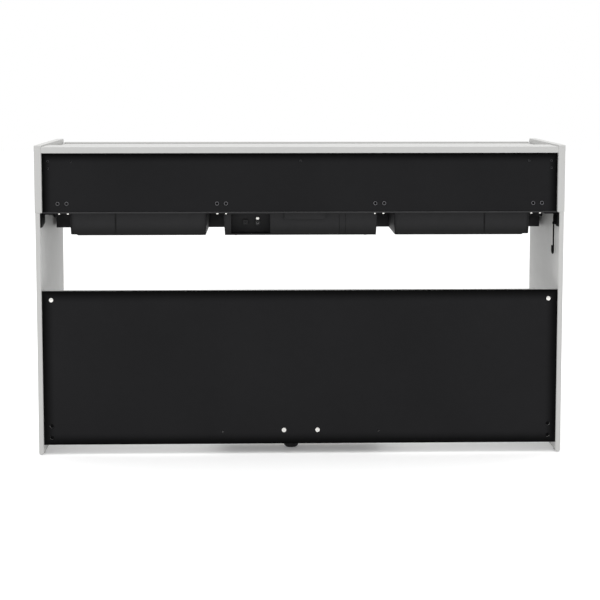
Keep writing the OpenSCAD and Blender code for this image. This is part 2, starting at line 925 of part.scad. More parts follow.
// Two drivers that face down: flange, basket and magnet, each turned from one outline
module speaker_drivers() {
    color("#4a4a4c") for (s = [-1, 1]) translate([s * speaker_x, speaker_y, driver_z]) {
        rotate_extrude() polygon([
            [speaker_r - 10, 0], [speaker_r, 0], [speaker_r, 3], [speaker_r - 8, 3],
            [38, 26], [38, 44], [0, 44], [0, 18], [20, 18]
        ]);
    }
}

// Middle box that holds the electronics, with a bay for the sockets at its right
module electronics_box() {
    outline = [
        [-centre_half + centre_draft, case_z],
        [centre_half - centre_draft, case_z],
        [centre_half, bed_z],
        [-centre_half, bed_z]
    ];
    color("#2b2b2d") difference() {
        union() {
            difference() {
                intersection() {
                    pull_y(case_rear, box_rear) polygon(outline);
                    rear_rounded(-centre_half, centre_half, case_rear, box_rear, case_z - over,
                        centre_corner_r);
                }
                rear_rounded(-centre_half + centre_draft + case_wall, centre_half - centre_draft - case_wall,
                    case_rear + case_wall, box_rear - case_wall, case_z + case_wall,
                    centre_corner_r - case_wall);
            }
            span([bay_a - case_wall, bay_y - case_wall, case_z], [bay_b + case_wall, box_rear, bed_z]);
            span([plate_span[0], box_rear - case_wall, leg_h - plate_drop],
                 [plate_span[1], box_rear + plate_proud, bed_z]);
        }
        span([bay_a, bay_y, case_z + bay_floor], [bay_b, box_rear + over, bed_z - bay_floor]);
        for (x = rib_xs) span([x - rib_w / 2, box_rear - rib_deep, case_z + bay_floor],
                              [x + rib_w / 2, box_rear + over, bed_z - bay_floor]);
        span([dc_x - dc_half - slack, bay_y - 2 * case_wall, socket_z - dc_half - slack],
             [dc_x + dc_half + slack, bay_y + over, socket_z + dc_half + slack]);
        bar_y(bay_y - 2 * case_wall, bay_y + over, din_x, din_z, din_r + screw_gap);
        for (x = pair_xs) translate([x, leaf_screw_y, bed_z - relief_h])
            cylinder(r = relief_r, h = relief_h + over);
    }
}

// Circuit board with its larger parts, on four stand-offs
module main_board() {
    parts_z = board_z + board_t;
    color("darkgreen") {
        span([board_a[0], board_a[1], board_z], [board_b[0], board_b[1], parts_z]);
        for (x = [board_a[0] + board_margin, board_b[0] - board_margin],
             y = [board_a[1] + board_margin, board_b[1] - board_margin])
            translate([x, y, board_z - board_up]) cylinder(r = 3, h = board_up);
        translate([-40, case_rear + 50, parts_z]) cube([28, 28, 2]);
        translate([-120, case_rear + 40, parts_z]) cube([30, 60, 16]);
        for (k = [0:3]) translate([10 + 12 * k, case_rear + 100, parts_z]) cylinder(r = 4, h = 12);
    }
}

// Power inlet and pedal socket at the back of the bay, and two headphone sockets in front
module sockets() {
    dc_front = bay_y + 8;
    din_front = bay_y + 7;
    headphone_jacks();
    color("#101012") {
        difference() {
            span([dc_x - dc_half, bay_y - case_wall, socket_z - dc_half],
                 [dc_x + dc_half, dc_front, socket_z + dc_half]);
            bar_y(bay_y - 1, dc_front + over, dc_x, socket_z, dc_bore_r);
        }
        bar_y(bay_y - 1.5, dc_front - 2, dc_x, socket_z, 1);
        difference() {
            bar_y(bay_y - case_wall, din_front, din_x, din_z, din_r);
            bar_y(bay_y + 2, din_front + over, din_x, din_z, din_bore_r);
        }
        bar_y(bay_y, bay_y + 3, din_x, cap_z, 4);
    }
}

// Two headphone sockets that look out below the keys at the player's left
module headphone_jacks() {
    color("#2b2b2d") for (x = jack_xs) difference() {
        union() {
            bar_y(slip_front, slip_front + jack_l, x, jack_z, jack_body_r);
            bar_y(slip_front - jack_rim_t, slip_front, x, jack_z, jack_body_r + jack_rim);
        }
        bar_y(slip_front - jack_rim_t - over, slip_front + jack_deep, x, jack_z, jack_bore_r);
    }
}

// ---------------------------------------------------------------- keyboard

function semitone(i) = (i + 9) % 12;
function is_black(i) = let (s = semitone(i)) s == 1 || s == 3 || s == 6 || s == 8 || s == 10;
function octave_x(i) = (7 * floor((i + 9) / 12) - 5 - white_count / 2) * key_pitch;
function letter(i) = [0, 0, 1, 1, 2, 3, 3, 4, 4, 5, 5, 6][semitone(i)];
function white_x(i) = octave_x(i) + letter(i) * key_pitch;
function slot_x(i) = octave_x(i) + (semitone(i) + 0.5) * octave / 12;
function black_x(i) = slot_x(i) + black_shift;
// Sides of a white key's tail, between the black keys next to it
function tail_left(i) = i > 0 && is_black(i - 1)
    ? black_x(i - 1) + black_w / 2 + key_gap : white_x(i) + key_gap / 2;
function tail_right(i) = i < key_count - 1 && is_black(i + 1)
    ? black_x(i + 1) - black_w / 2 - key_gap : white_x(i) + key_pitch - key_gap / 2;

// Narrow arm from a key's body back to the pivot, with its bore cut by key()
module stem(i) {
    span([slot_x(i) - stem_w / 2, tail_end - 2, stem_bottom], [slot_x(i) + stem_w / 2, stem_end, stem_top]);
}

module white_key(i) {
    a = white_x(i) + key_gap / 2;
    b = white_x(i) + key_pitch - key_gap / 2;
    notch = black_front - key_gap;
    translate([0, 0, slip_top]) linear_extrude(key_h) polygon([
        [a, key_front], [b, key_front], [b, notch], [tail_right(i), notch],
        [tail_right(i), tail_end], [tail_left(i), tail_end], [tail_left(i), notch], [a, notch]
    ]);
    stem(i);
}

module black_key(i) {
    crown = key_edge - 4;
    foot = slip_top + 6;
    translate([black_x(i) - black_w / 2, 0, 0]) pull_x(0, black_w) polygon([
        [black_front, foot], [black_front, key_top + 2],
        [black_front + 7, key_top + black_rise], [crown, key_top + black_rise],
        [crown, key_top], [tail_end, key_top], [tail_end, foot]
    ]);
    stem(i);
}

// Key i of the keyboard, counted from the lowest, bored for the pivot rod
module key(i) {
    color(is_black(i) ? "#151515" : "ivory") difference() {
        if (is_black(i)) {
            black_key(i);
        } else {
            white_key(i);
        }
        bar_x(slot_x(i) - stem_w, slot_x(i) + stem_w, pivot_y, pivot_z, rod_r + run_gap);
    }
}

// Keys from first to last that are black, or that are white
module keys(first, last, black) {
    for (i = [first:last]) if (is_black(i) == black) key(i);
}

module key_c4() { key(middle_c); }
module key_c_sharp4() { key(middle_c + 1); }
module key_d4() { key(middle_c + 2); }
module key_d_sharp4() { key(middle_c + 3); }
module key_e4() { key(middle_c + 4); }
module key_f4() { key(middle_c + 5); }
module key_f_sharp4() { key(middle_c + 6); }
module key_g4() { key(middle_c + 7); }
module key_g_sharp4() { key(middle_c + 8); }
module key_a4() { key(middle_c + 9); }
module key_a_sharp4() { key(middle_c + 10); }
module key_b4() { key(middle_c + 11); }
module bass_white_keys() { keys(0, middle_c - 1, false); }
module bass_black_keys() { keys(0, middle_c - 1, true); }
module treble_white_keys() { keys(middle_c + 12, key_count - 1, false); }
module treble_black_keys() { keys(middle_c + 12, key_count - 1, true); }

// Moulded chassis below the keys, with a post for the rod at each end and octave
module key_frame() {
    post_half = 1.5;
    posts = concat(
        [-keys_half + post_half, keys_half - post_half],
        [for (o = [1:8]) (7 * o - 5 - white_count / 2) * key_pitch]
    );
    color("#2b2b2d") difference() {
        union() {
            span([-keys_half, key_front + 4, bed_top], [keys_half, stem_end + 12, bed_top + chassis_t]);
            span([-keys_half, front_rail_y, bed_top],
                 [keys_half, front_rail_y + front_rail_d, front_rail_top]);
            span([-keys_half, pivot_y - 8, bed_top], [keys_half, pivot_y + 8, stem_bottom - 2]);
            for (x = posts) span([x - post_half, pivot_y - 6, bed_top],
                                 [x + post_half, pivot_y + 6, pivot_z + 6]);
        }
        bar_x(-keys_half - over, keys_half + over, pivot_y, pivot_z, rod_r + run_gap);
    }
}

module key_pivot_rod() {
    color("silver") bar_x(-keys_half, keys_half, pivot_y, pivot_z, rod_r);
}

// Felt behind the keys, felt that the pressed keys land on, and two pads for the lid
module key_felt() {
    color("darkred") {
        span([-keys_half, key_edge - felt_strip, key_top + felt_strip],
             [keys_half, key_edge, deck_top - 1]);
        span([-keys_half, front_rail_y, front_rail_top],
             [keys_half, front_rail_y + front_rail_d, front_rail_top + felt_t]);
        for (s = [-1, 1]) translate([s * lid_pad_x, slip_front + rail_t / 2, slip_top])
            cylinder(r = lid_pad_r, h = rail_z - slip_top - slack);
    }
}

// ---------------------------------------------------------------- controls

// Deck over the key tails, with a riser up to the shelf
module control_panel() {
    color("#232325") difference() {
        union() {
            span([-cheek_in, key_edge, deck_top - deck_t], [cheek_in, shelf_front + deck_t, deck_top]);
            span([-keys_half, key_edge, deck_top - deck_lip - deck_t],
                 [keys_half, key_edge + deck_t, deck_top]);
            span([-cheek_in, shelf_front, deck_top - deck_t],
                 [cheek_in, shelf_front + deck_t, shelf_under]);
        }
        translate([power_x, control_y, deck_top - 2 * deck_t])
            cylinder(r = power_r + slack, h = 4 * deck_t);
        translate([volume_x, control_y, deck_top - 2 * deck_t])
            cylinder(r = knob_shaft_r + slack, h = 4 * deck_t);
        for (x = button_xs) translate([x, control_y, deck_top - 2 * deck_t])
            linear_extrude(4 * deck_t) square(button_size + 2 * [slack, slack], center = true);
    }
}

module power_button() {
    color("#3a3a3c") translate([power_x, control_y, deck_top - deck_t - button_down])
        cylinder(r = power_r, h = deck_t + button_down + button_up);
}

// Ribbed knob on a shaft
module volume_knob() {
    color("#3a3a3c") translate([volume_x, control_y, deck_top + slack]) {
        difference() {
            cylinder(r = knob_r, h = knob_h);
            for (k = [0:knob_ribs - 1]) rotate([0, 0, 360 * k / knob_ribs])
                translate([knob_r + 0.4, 0, 2]) cylinder(r = 0.9, h = knob_h);
        }
        translate([0, 0, -deck_t - 5]) cylinder(r = knob_shaft_r, h = deck_t + 5 + over);
    }
}

module oblong_button(x) {
    color("#3a3a3c") translate([x, control_y, deck_top - deck_t - button_down])
        linear_extrude(deck_t + button_down + button_up) rounded_rect(button_size, 1.5);
}

module tone_button() {
    oblong_button(button_xs[0]);
}

module metronome_button() {
    oblong_button(button_xs[1]);
}

// ---------------------------------------------------------------- lid

// Knuckles of one hinge at x: the even ones belong to the shelf and the odd ones to the lid
module knuckle_set(x, parity, r) {
    for (k = [0:knuckles - 1]) if (k % 2 == parity) {
        a = x - hinge_l / 2 + k * knuckle_l;
        trim = parity == 1 ? slack : 0;
        bar_x(a + trim, a + knuckle_l - trim, hinge_y, hinge_z, r);
    }
}

// Room cut in a leaf for the other half's knuckles
module knuckle_relief(x, parity) {
    for (k = [0:knuckles - 1]) if (k % 2 == parity) {
        a = x - hinge_l / 2 + k * knuckle_l;
        trim = parity == 0 ? slack : 0;
        bar_x(a - trim, a + knuckle_l + trim, hinge_y, hinge_z, knuckle_r + relief_gap);
    }
}

// Hinge halves screwed to the shelf's front edge, each with its pin
module hinge_shelf_leaves() {
    color("silver") for (x = hinge_xs) {
        difference() {
            span([x - hinge_l / 2, shelf_front - leaf_t, shelf_under + 1],
                 [x + hinge_l / 2, shelf_front, hinge_z + 3]);
            knuckle_relief(x, 1);
        }
        knuckle_set(x, 0, knuckle_r);
        bar_x(x - hinge_l / 2, x + hinge_l / 2, hinge_y, hinge_z, pin_r);
    }
}

// Hinge halves on the lid's upper face, turning on the pins
module hinge_lid_leaves() {
    color("silver") for (x = hinge_xs) difference() {
        union() {
            difference() {
                span([x - hinge_l / 2, hinge_y - leaf_l, lid_top],
                     [x + hinge_l / 2, hinge_y, lid_top + leaf_t]);
                knuckle_relief(x, 0);
            }
            knuckle_set(x, 1, knuckle_r);
        }
        bar_x(x - hinge_l, x + hinge_l, hinge_y, hinge_z, pin_r + run_gap);
    }
}

// Board that closes over the keys, with two lugs for the music ledge
module lid() {
    color("whitesmoke") {
        span([-lid_half, lid_front, lid_z], [lid_half, hinge_y, lid_top]);
        for (s = [-1, 1]) mirror([s < 0 ? 1 : 0, 0, 0]) difference() {
            span([ledge_w / 2 + slack, ledge_y - ledge_lug_r, ledge_z - ledge_lug_r],
                 [ledge_w / 2 + slack + lug_w, ledge_y + ledge_lug_r, lid_z]);
            bar_x(ledge_w / 2, ledge_w / 2 + ledge_pin_l + 2, ledge_y, ledge_z, ledge_pin_r + run_gap);
        }
    }
}

// Rail along the lid's front edge, which hides the keys and stands up as a lip
module lid_rail() {
    color("whitesmoke")
        span([-lid_half, slip_front, rail_z], [lid_half, lid_front, rail_top]);
}

// Narrow ledge that folds out of the lid to hold sheet music
module music_ledge() {
    color("whitesmoke") {
        bar_x(-ledge_w / 2, ledge_w / 2, ledge_y, ledge_z, ledge_t / 2);
        span([-ledge_w / 2, ledge_y - ledge_d, ledge_z - ledge_t / 2],
             [ledge_w / 2, ledge_y, ledge_z + ledge_t / 2]);
        bar_x(-ledge_w / 2 - ledge_pin_l, ledge_w / 2 + ledge_pin_l, ledge_y, ledge_z, ledge_pin_r);
    }
}

// ---------------------------------------------------------------- nodes

left_leg();
right_leg();
leg_glides();
leg_brackets();
headphone_hook();
lower_panel();
lower_panel_screws();
lower_panel_bolts();
pedal_box();
pedal_axle();
pedal_springs();
pedal_left();
pedal_middle();
pedal_right();
pedal_foot();
left_cheek();
right_cheek();
top_shelf();
rear_panel();
rear_panel_screws();
panel_brackets();
keybed();
key_slip();
end_blocks();
bottom_case();
left_speaker_box();
right_speaker_box();
speaker_drivers();
electronics_box();
main_board();
sockets();
key_frame();
key_pivot_rod();
key_felt();
control_panel();
power_button();
volume_knob();
tone_button();
metronome_button();
lid();
lid_rail();
hinge_shelf_leaves();
hinge_lid_leaves();
music_ledge();
key_c4();
key_c_sharp4();
key_d4();
key_d_sharp4();
key_e4();
key_f4();
key_f_sharp4();
key_g4();
key_g_sharp4();
key_a4();
key_a_sharp4();
key_b4();
bass_white_keys();
bass_black_keys();
treble_white_keys();
treble_black_keys();
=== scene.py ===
"""Looks of a slim digital piano on its stand, seen from behind: camera, light, surfaces and fine pieces."""

import json
import math

import bmesh
import bpy
from mathutils import Matrix, Vector


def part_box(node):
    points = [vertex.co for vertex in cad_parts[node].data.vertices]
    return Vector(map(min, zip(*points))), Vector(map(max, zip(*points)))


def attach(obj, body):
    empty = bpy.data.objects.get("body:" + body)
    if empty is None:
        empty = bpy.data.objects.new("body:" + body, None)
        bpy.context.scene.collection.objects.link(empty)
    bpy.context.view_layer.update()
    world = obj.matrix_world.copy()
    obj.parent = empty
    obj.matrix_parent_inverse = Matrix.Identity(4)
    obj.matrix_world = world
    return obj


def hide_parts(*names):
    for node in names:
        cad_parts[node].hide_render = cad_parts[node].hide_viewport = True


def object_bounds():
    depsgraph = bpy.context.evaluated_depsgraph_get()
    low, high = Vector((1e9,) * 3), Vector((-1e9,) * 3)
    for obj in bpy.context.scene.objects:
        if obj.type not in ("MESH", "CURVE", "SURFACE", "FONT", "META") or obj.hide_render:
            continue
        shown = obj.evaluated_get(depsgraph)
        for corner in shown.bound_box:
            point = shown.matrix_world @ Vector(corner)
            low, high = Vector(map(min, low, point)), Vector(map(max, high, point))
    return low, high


MM = 0.001

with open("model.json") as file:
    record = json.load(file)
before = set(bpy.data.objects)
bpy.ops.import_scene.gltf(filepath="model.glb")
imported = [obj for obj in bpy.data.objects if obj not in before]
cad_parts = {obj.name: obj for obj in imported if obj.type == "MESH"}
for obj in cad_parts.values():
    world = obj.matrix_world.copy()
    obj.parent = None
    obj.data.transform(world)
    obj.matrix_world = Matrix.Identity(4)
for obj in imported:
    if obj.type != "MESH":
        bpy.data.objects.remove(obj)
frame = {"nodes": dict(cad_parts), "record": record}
nodes = frame["nodes"]
cad_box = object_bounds()


# ---------------------------------------------------------------- camera

# Eye, in metres: height, distance behind the CAD box, and offset from the middle towards +X
EYE_HEIGHT = 0.9829
EYE_DISTANCE = 3.591
EYE_SIDE = 0.0878
# Directions in degrees
YAW = 1.367
PITCH = 5.0
# Lens and sensor in millimetres, and the shift as a share of the picture
LENS = 83.77
SENSOR = 36
SHIFT_Y = -0.1667
CLIP = (0.1, 60)


def make_camera():
    """Behind the piano and above its top, looking slightly down."""
    data = bpy.data.cameras.new("camera")
    camera = bpy.data.objects.new("camera", data)
    bpy.context.collection.objects.link(camera)
    data.sensor_width = SENSOR
    data.lens = LENS
    data.shift_y = SHIFT_Y
    data.clip_start, data.clip_end = CLIP
    camera.location = (EYE_SIDE, cad_box[1].y + EYE_DISTANCE, EYE_HEIGHT)
    camera.rotation_euler = (math.radians(90 - PITCH), 0, math.radians(180 - YAW))
    bpy.context.scene.camera = camera


make_camera()


# ---------------------------------------------------------------- stage

FLOOR_SIZE = 30
# Darkest and lightest grey of the floor, the size of its patches, and the light that it gives off
FLOOR_TONES = (0.93, 0.95)
FLOOR_PATCHES = 0.6
FLOOR_GLOW = 0.15
WORLD_LIGHT = 1.0
# Overhead light: height and sides in metres, power in watts
LIGHT_HEIGHT = 4.2
LIGHT_SIZE = (6.0, 5.0)
LIGHT_POWER = 120


def make_floor():
    """Pale studio floor with a faint, broad change of tone."""
    mesh = bpy.data.meshes.new("floor")
    half = FLOOR_SIZE / 2
    corners = [(-half, -half, 0), (half, -half, 0), (half, half, 0), (-half, half, 0)]
    mesh.from_pydata(corners, [], [(0, 1, 2, 3)])
    floor = bpy.data.objects.new("floor", mesh)
    bpy.context.collection.objects.link(floor)
    mat = bpy.data.materials.new("floor_white")
    mat.use_nodes = True
    tree = mat.node_tree
    bsdf = tree.nodes["Principled BSDF"]
    noise = tree.nodes.new("ShaderNodeTexNoise")
    noise.inputs["Scale"].default_value = FLOOR_PATCHES
    ramp = tree.nodes.new("ShaderNodeValToRGB")
    for element, grey in zip(ramp.color_ramp.elements, FLOOR_TONES):
        element.color = (grey, grey, grey, 1)
    tree.links.new(noise.outputs["Fac"], ramp.inputs["Fac"])
    tree.links.new(ramp.outputs["Color"], bsdf.inputs["Base Color"])
    bsdf.inputs["Roughness"].default_value = 0.9
    bsdf.inputs["Specular IOR Level"].default_value = 0.1
    bsdf.inputs["Emission Color"].default_value = (1, 1, 1, 1)
    bsdf.inputs["Emission Strength"].default_value = FLOOR_GLOW
    mesh.materials.append(mat)


def make_world():
    """Even white light from everywhere."""
    world = bpy.data.worlds.new("studio")
    bpy.context.scene.world = world
    world.use_nodes = True
    background = world.node_tree.nodes["Background"]
    background.inputs["Color"].default_value = (1, 1, 1, 1)
    background.inputs["Strength"].default_value = WORLD_LIGHT


def make_light():
    """One large soft light overhead, which points straight down."""
    data = bpy.data.lights.new("overhead", "AREA")
    data.shape = "RECTANGLE"
    data.size, data.size_y = LIGHT_SIZE
    data.energy = LIGHT_POWER
    light = bpy.data.objects.new("overhead", data)
    bpy.context.collection.objects.link(light)
    light.location = (0, 0, LIGHT_HEIGHT)


make_floor()
make_world()
make_light()
bpy.context.scene.view_settings.view_transform = "Standard"


# ---------------------------------------------------------------- materials

class Surface:
    """A procedural material on one Principled shader, with its texture in object coordinates."""

    def __init__(self, name, colour, rough, metal=0.0, specular=0.5):
        self.mat = bpy.data.materials.new(name)
        self.mat.use_nodes = True
        self.tree = self.mat.node_tree
        self.bsdf = self.tree.nodes["Principled BSDF"]
        self.colour = colour
        self.bsdf.inputs["Base Color"].default_value = (*colour, 1)
        self.bsdf.inputs["Roughness"].default_value = rough
        self.bsdf.inputs["Metallic"].default_value = metal
        self.bsdf.inputs["Specular IOR Level"].default_value = specular
        self.rough = rough
        self.coords = self.tree.nodes.new("ShaderNodeTexCoord").outputs["Object"]

    def math(self, operation, a, b=0.0):
        """Result of a math node on two sockets or numbers."""
        node = self.tree.nodes.new("ShaderNodeMath")
        node.operation = operation
        for socket, value in zip(node.inputs, (a, b)):
            if isinstance(value, (int, float)):
                socket.default_value = value
            else:
                self.tree.links.new(value, socket)
        return node.outputs["Value"]

    def noise(self, scale, detail, stretch=(1, 1, 1), roughness=0.55):
        """Noise from 0 to 1 in object coordinates, with this many features a metre."""
        mapping = self.tree.nodes.new("ShaderNodeMapping")
        mapping.inputs["Scale"].default_value = stretch
        texture = self.tree.nodes.new("ShaderNodeTexNoise")
        texture.inputs["Scale"].default_value = scale
        texture.inputs["Detail"].default_value = detail
        texture.inputs["Roughness"].default_value = roughness
        self.tree.links.new(self.coords, mapping.inputs["Vector"])
        self.tree.links.new(mapping.outputs["Vector"], texture.inputs["Vector"])
        return texture.outputs["Fac"]

    def spread(self, value, to_min, to_max, from_min=0.3, from_max=0.7, smooth=False):
        """Maps a value from one range, by default that of noise, to another and holds it inside."""
        node = self.tree.nodes.new("ShaderNodeMapRange")
        node.interpolation_type = "SMOOTHSTEP" if smooth else "LINEAR"
        node.inputs["From Min"].default_value = from_min
        node.inputs["From Max"].default_value = from_max
        node.inputs["To Min"].default_value = to_min
        node.inputs["To Max"].default_value = to_max
        self.tree.links.new(value, node.inputs["Value"])
        return node.outputs["Result"]

    def blend(self, factor, a, b):
        """Colour between a and b, each a colour or a socket."""
        node = self.tree.nodes.new("ShaderNodeMix")
        node.data_type = "RGBA"
        for socket, value in ((node.inputs[6], a), (node.inputs[7], b)):
            if isinstance(value, (tuple, list)):
                socket.default_value = (*value, 1)
            else:
                self.tree.links.new(value, socket)
        self.tree.links.new(factor, node.inputs["Factor"])
        return node.outputs[2]

    def tone(self, scale, amount, stretch=(1, 1, 1), colour=None):
        """Base colour that drifts by the given share."""
        base = colour or self.colour
        dark = tuple(c * (1 - amount) for c in base)
        light = tuple(min(1, c * (1 + amount)) for c in base)
        return self.blend(self.spread(self.noise(scale, 5, stretch), 0, 1), dark, light)

    def set_colour(self, socket):
        self.tree.links.new(socket, self.bsdf.inputs["Base Color"])

    def set_rough(self, scale, amount, stretch=(1, 1, 1)):
        """Roughness that varies by the amount either way."""
        low_rough, high_rough = self.rough - amount, self.rough + amount
        socket = self.spread(self.noise(scale, 3, stretch), low_rough, high_rough)
        self.tree.links.new(socket, self.bsdf.inputs["Roughness"])

    def bump(self, height, strength, distance):
        """Relief of this depth in metres."""
        node = self.tree.nodes.new("ShaderNodeBump")
        node.inputs["Strength"].default_value = strength
        node.inputs["Distance"].default_value = distance
        self.tree.links.new(height, node.inputs["Height"])
        self.tree.links.new(node.outputs["Normal"], self.bsdf.inputs["Normal"])

    def split(self):
        """The object coordinates X, Y and Z, as three sockets."""
        node = self.tree.nodes.new("ShaderNodeSeparateXYZ")
        self.tree.links.new(self.coords, node.inputs[0])
        return node.outputs

    def facing(self, axis):
        """1 where the surface faces along the object's own axis, else 0."""
        coords = self.tree.nodes.new("ShaderNodeTexCoord")
        dot = self.tree.nodes.new("ShaderNodeVectorMath")
        dot.operation = "DOT_PRODUCT"
        dot.inputs[1].default_value = axis
        self.tree.links.new(coords.outputs["Normal"], dot.inputs[0])
        return self.spread(dot.outputs["Value"], 0, 1, 0.8, 0.9)

    def painted_edge_shade(self, node, reach, sides):
        """Mask for painted shade: from 0 at the node's sides, such as "xX" for both along X, to 1 at this
        distance inside.
        """
        a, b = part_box(node)
        places = self.split()
        inside = None
        for side in sides:
            k = "xyz".index(side.lower())
            ends = (b[k], places[k]) if side.isupper() else (places[k], a[k])
            gap = self.math("SUBTRACT", *ends)
            inside = gap if inside is None else self.math("MINIMUM", inside, gap)
        return self.spread(inside, 0, 1, 0, reach, smooth=True)


def board(name, colour):
    """Foil-covered board: a fine pebble in the foil and a slow drift of tone."""
    s = Surface(name, colour, 0.55, specular=0.25)
    s.set_colour(s.tone(2.5, 0.02))
    s.set_rough(30, 0.05)
    s.bump(s.noise(900, 3), 0.12, 0.0002)
    return s


def rear_board(name, node, back, face, reach, sides):
    """Board that is black behind, with painted shade that darkens it towards its edges there, and pale on
    its other faces.
    """
    s = Surface(name, back, 0.65, specular=0.05)
    # Near-black colour of the painted shade at the back face's edges
    deep = tuple(c * 0.02 for c in back)
    dark = s.blend(s.painted_edge_shade(node, reach, sides), deep, s.tone(3.0, 0.08, colour=back))
    light = s.tone(2.5, 0.02, colour=face)
    s.set_colour(s.blend(s.facing((0, 1, 0)), light, dark))
    s.set_rough(40, 0.05)
    s.bump(s.noise(700, 3), 0.15, 0.0002)
    return s


def moulded(name, colour, rough=0.55, grain=1400, depth=0.3, specular=0.35):
    """Moulded plastic with a spark-eroded grain."""
    s = Surface(name, colour, rough, specular=specular)
    s.set_colour(s.tone(6, 0.06))
    s.set_rough(60, 0.05)
    s.bump(s.noise(grain, 4), depth, 0.00015)
    return s


def case_plastic(name, colour):
    """Black moulding of the cases, with painted shade towards the rear ones' bottom edge and along the
    groove of their seam.
    """
    s = moulded(name, colour, specular=0.2)
    a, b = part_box("left_speaker_box")
    x, y, z = s.split()
    # Masks where shade is painted: near the rear cases' bottom edge, and along their seam
    above = s.spread(z, 0, 1, a.z - 1 * MM, a.z + CASE_SHADE, smooth=True)
    below = s.spread(z, 1, 0, a.z - 9 * MM, a.z - 8 * MM)
    ahead = s.spread(y, 1, 0, b.y - 40 * MM, b.y - 10 * MM)
    lit = s.math("MAXIMUM", s.math("MAXIMUM", above, below), ahead)
    off_seam = s.math("ABSOLUTE", s.math("SUBTRACT", s.math("ABSOLUTE", x), CASE_SEAM))
    clear = s.math("MAXIMUM", s.spread(off_seam, 0, 1, 1.5 * MM, 3 * MM), ahead)
    # Near-black colour of the painted shade at the bottom edge and the seam
    deep = tuple(c * 0.1 for c in colour)
    s.set_colour(s.blend(s.math("MULTIPLY", lit, clear), deep, s.tone(6, 0.06)))
    return s


def metal(name, colour, rough, stretch=(1, 1, 1), grain=600, depth=0.05):
    """Bare or plated metal; a stretch along one axis gives it a brushed look."""
    s = Surface(name, colour, rough, metal=1.0)
    s.set_colour(s.tone(25, 0.05, stretch))
    s.set_rough(180, 0.06, stretch)
    s.bump(s.noise(grain, 3, stretch), depth, 0.0001)
    return s


def powder_coat(name, colour, specular=0.05):
    """Matt sprayed coat with an orange-peel surface."""
    s = Surface(name, colour, 0.5, specular=specular)
    s.set_colour(s.tone(15, 0.06))
    s.set_rough(90, 0.06)
    s.bump(s.noise(1100, 2), 0.25, 0.0002)
    return s


def key_plastic(name, colour, rough, depth):
    """Key covering: near-smooth for white keys, a dry grain along the key for black ones."""
    s = Surface(name, colour, rough, specular=0.5)
    s.set_colour(s.tone(12, 0.015))
    s.set_rough(50, 0.04)
    s.bump(s.noise(900, 4, (3, 1, 3)), depth, 0.0001)
    return s


def felt(name, colour):
    """Woven felt: uneven, with a soft sheen."""
    s = Surface(name, colour, 0.95, specular=0.1)
    s.set_colour(s.tone(250, 0.25))
    s.bsdf.inputs["Sheen Weight"].default_value = 0.6
    s.bsdf.inputs["Sheen Roughness"].default_value = 0.4
    s.bump(s.noise(1500, 6, roughness=0.8), 0.8, 0.0005)
    return s


def circuit(name, colour):
    """Circuit board with raised tracks under its lacquer."""
    s = Surface(name, colour, 0.35)
    tracks = s.spread(s.noise(220, 2, (1, 8, 1)), 0, 1, 0.48, 0.52)
    s.set_colour(s.blend(tracks, colour, tuple(c * 1.8 for c in colour)))
    s.bump(tracks, 0.3, 0.0001)
    return s


# Linear colours
WHITE = (0.47, 0.47, 0.462)
BLACK_FOIL = (0.0122, 0.0122, 0.0130)
LIP_GREY = (0.035, 0.035, 0.036)
BLACK_PLASTIC = (0.0135, 0.0135, 0.0145)
# Height of the painted shade at the rear cases' bottom edge, and the X of their seam, along which shade is
# painted too
CASE_SHADE = 34 * MM
CASE_SEAM = 480.7 * MM

SURFACES = {
    "white_board": board("white_board", WHITE),
    # The black boards get painted shade along the edges named by their last argument, within the given
    # reach
    "black_board": rear_board("black_board", "rear_panel", BLACK_FOIL, BLACK_FOIL, 26 * MM, "xXZ"),
    "lower_board": rear_board("lower_board", "lower_panel", BLACK_FOIL, WHITE, 32 * MM, "xXzZ"),
    "grey_board": rear_board("grey_board", "keybed", LIP_GREY, (0.20, 0.20, 0.20), 1 * MM, "xX"),
    "black_plastic": case_plastic("black_plastic", BLACK_PLASTIC),
    "socket_plastic": moulded("socket_plastic", (0.008, 0.008, 0.009), 0.4, 900, 0.1),
    "panel_plastic": moulded("panel_plastic", (0.012, 0.012, 0.014), 0.42, 1600, 0.2),
    "button_plastic": moulded("button_plastic", (0.05, 0.05, 0.055), 0.4, 1600, 0.15),
    "white_plastic": moulded("white_plastic", WHITE, 0.45, 1400, 0.15),
    "circuit_board": circuit("circuit_board", (0.012, 0.10, 0.045)),
    "black_steel": powder_coat("black_steel", (0.0015, 0.0015, 0.0017)),
    "dark_screws": metal("dark_screws", (0.22, 0.22, 0.23), 0.4),
    "nickel": metal("nickel", (0.80, 0.79, 0.76), 0.22),
    "steel": metal("steel", (0.56, 0.56, 0.57), 0.3, (1, 12, 12)),
    "speaker_metal": powder_coat("speaker_metal", (0.05, 0.05, 0.055), specular=0.2),
    "pedal_brass": metal("pedal_brass", (0.83, 0.60, 0.26), 0.2, (1, 1, 1), 300, 0.03),
    "white_key": key_plastic("white_key", (0.78, 0.77, 0.73), 0.32, 0.05),
    "black_key": key_plastic("black_key", (0.006, 0.006, 0.006), 0.45, 0.5),
    "red_felt": felt("red_felt", (0.22, 0.010, 0.015)),
}

slot_of = {row["node"]: row["material_slot"] for row in frame["record"]["subparts"]}


def dress_nodes():
    """Gives every CAD node the material of its slot."""
    for name, obj in nodes.items():
        obj.data.materials.clear()
        obj.data.materials.append(SURFACES[slot_of[name]].mat)


EDGE_R = 0.9 * MM
RAIL_R = 3 * MM
WELD_GAP = 0.01 * MM


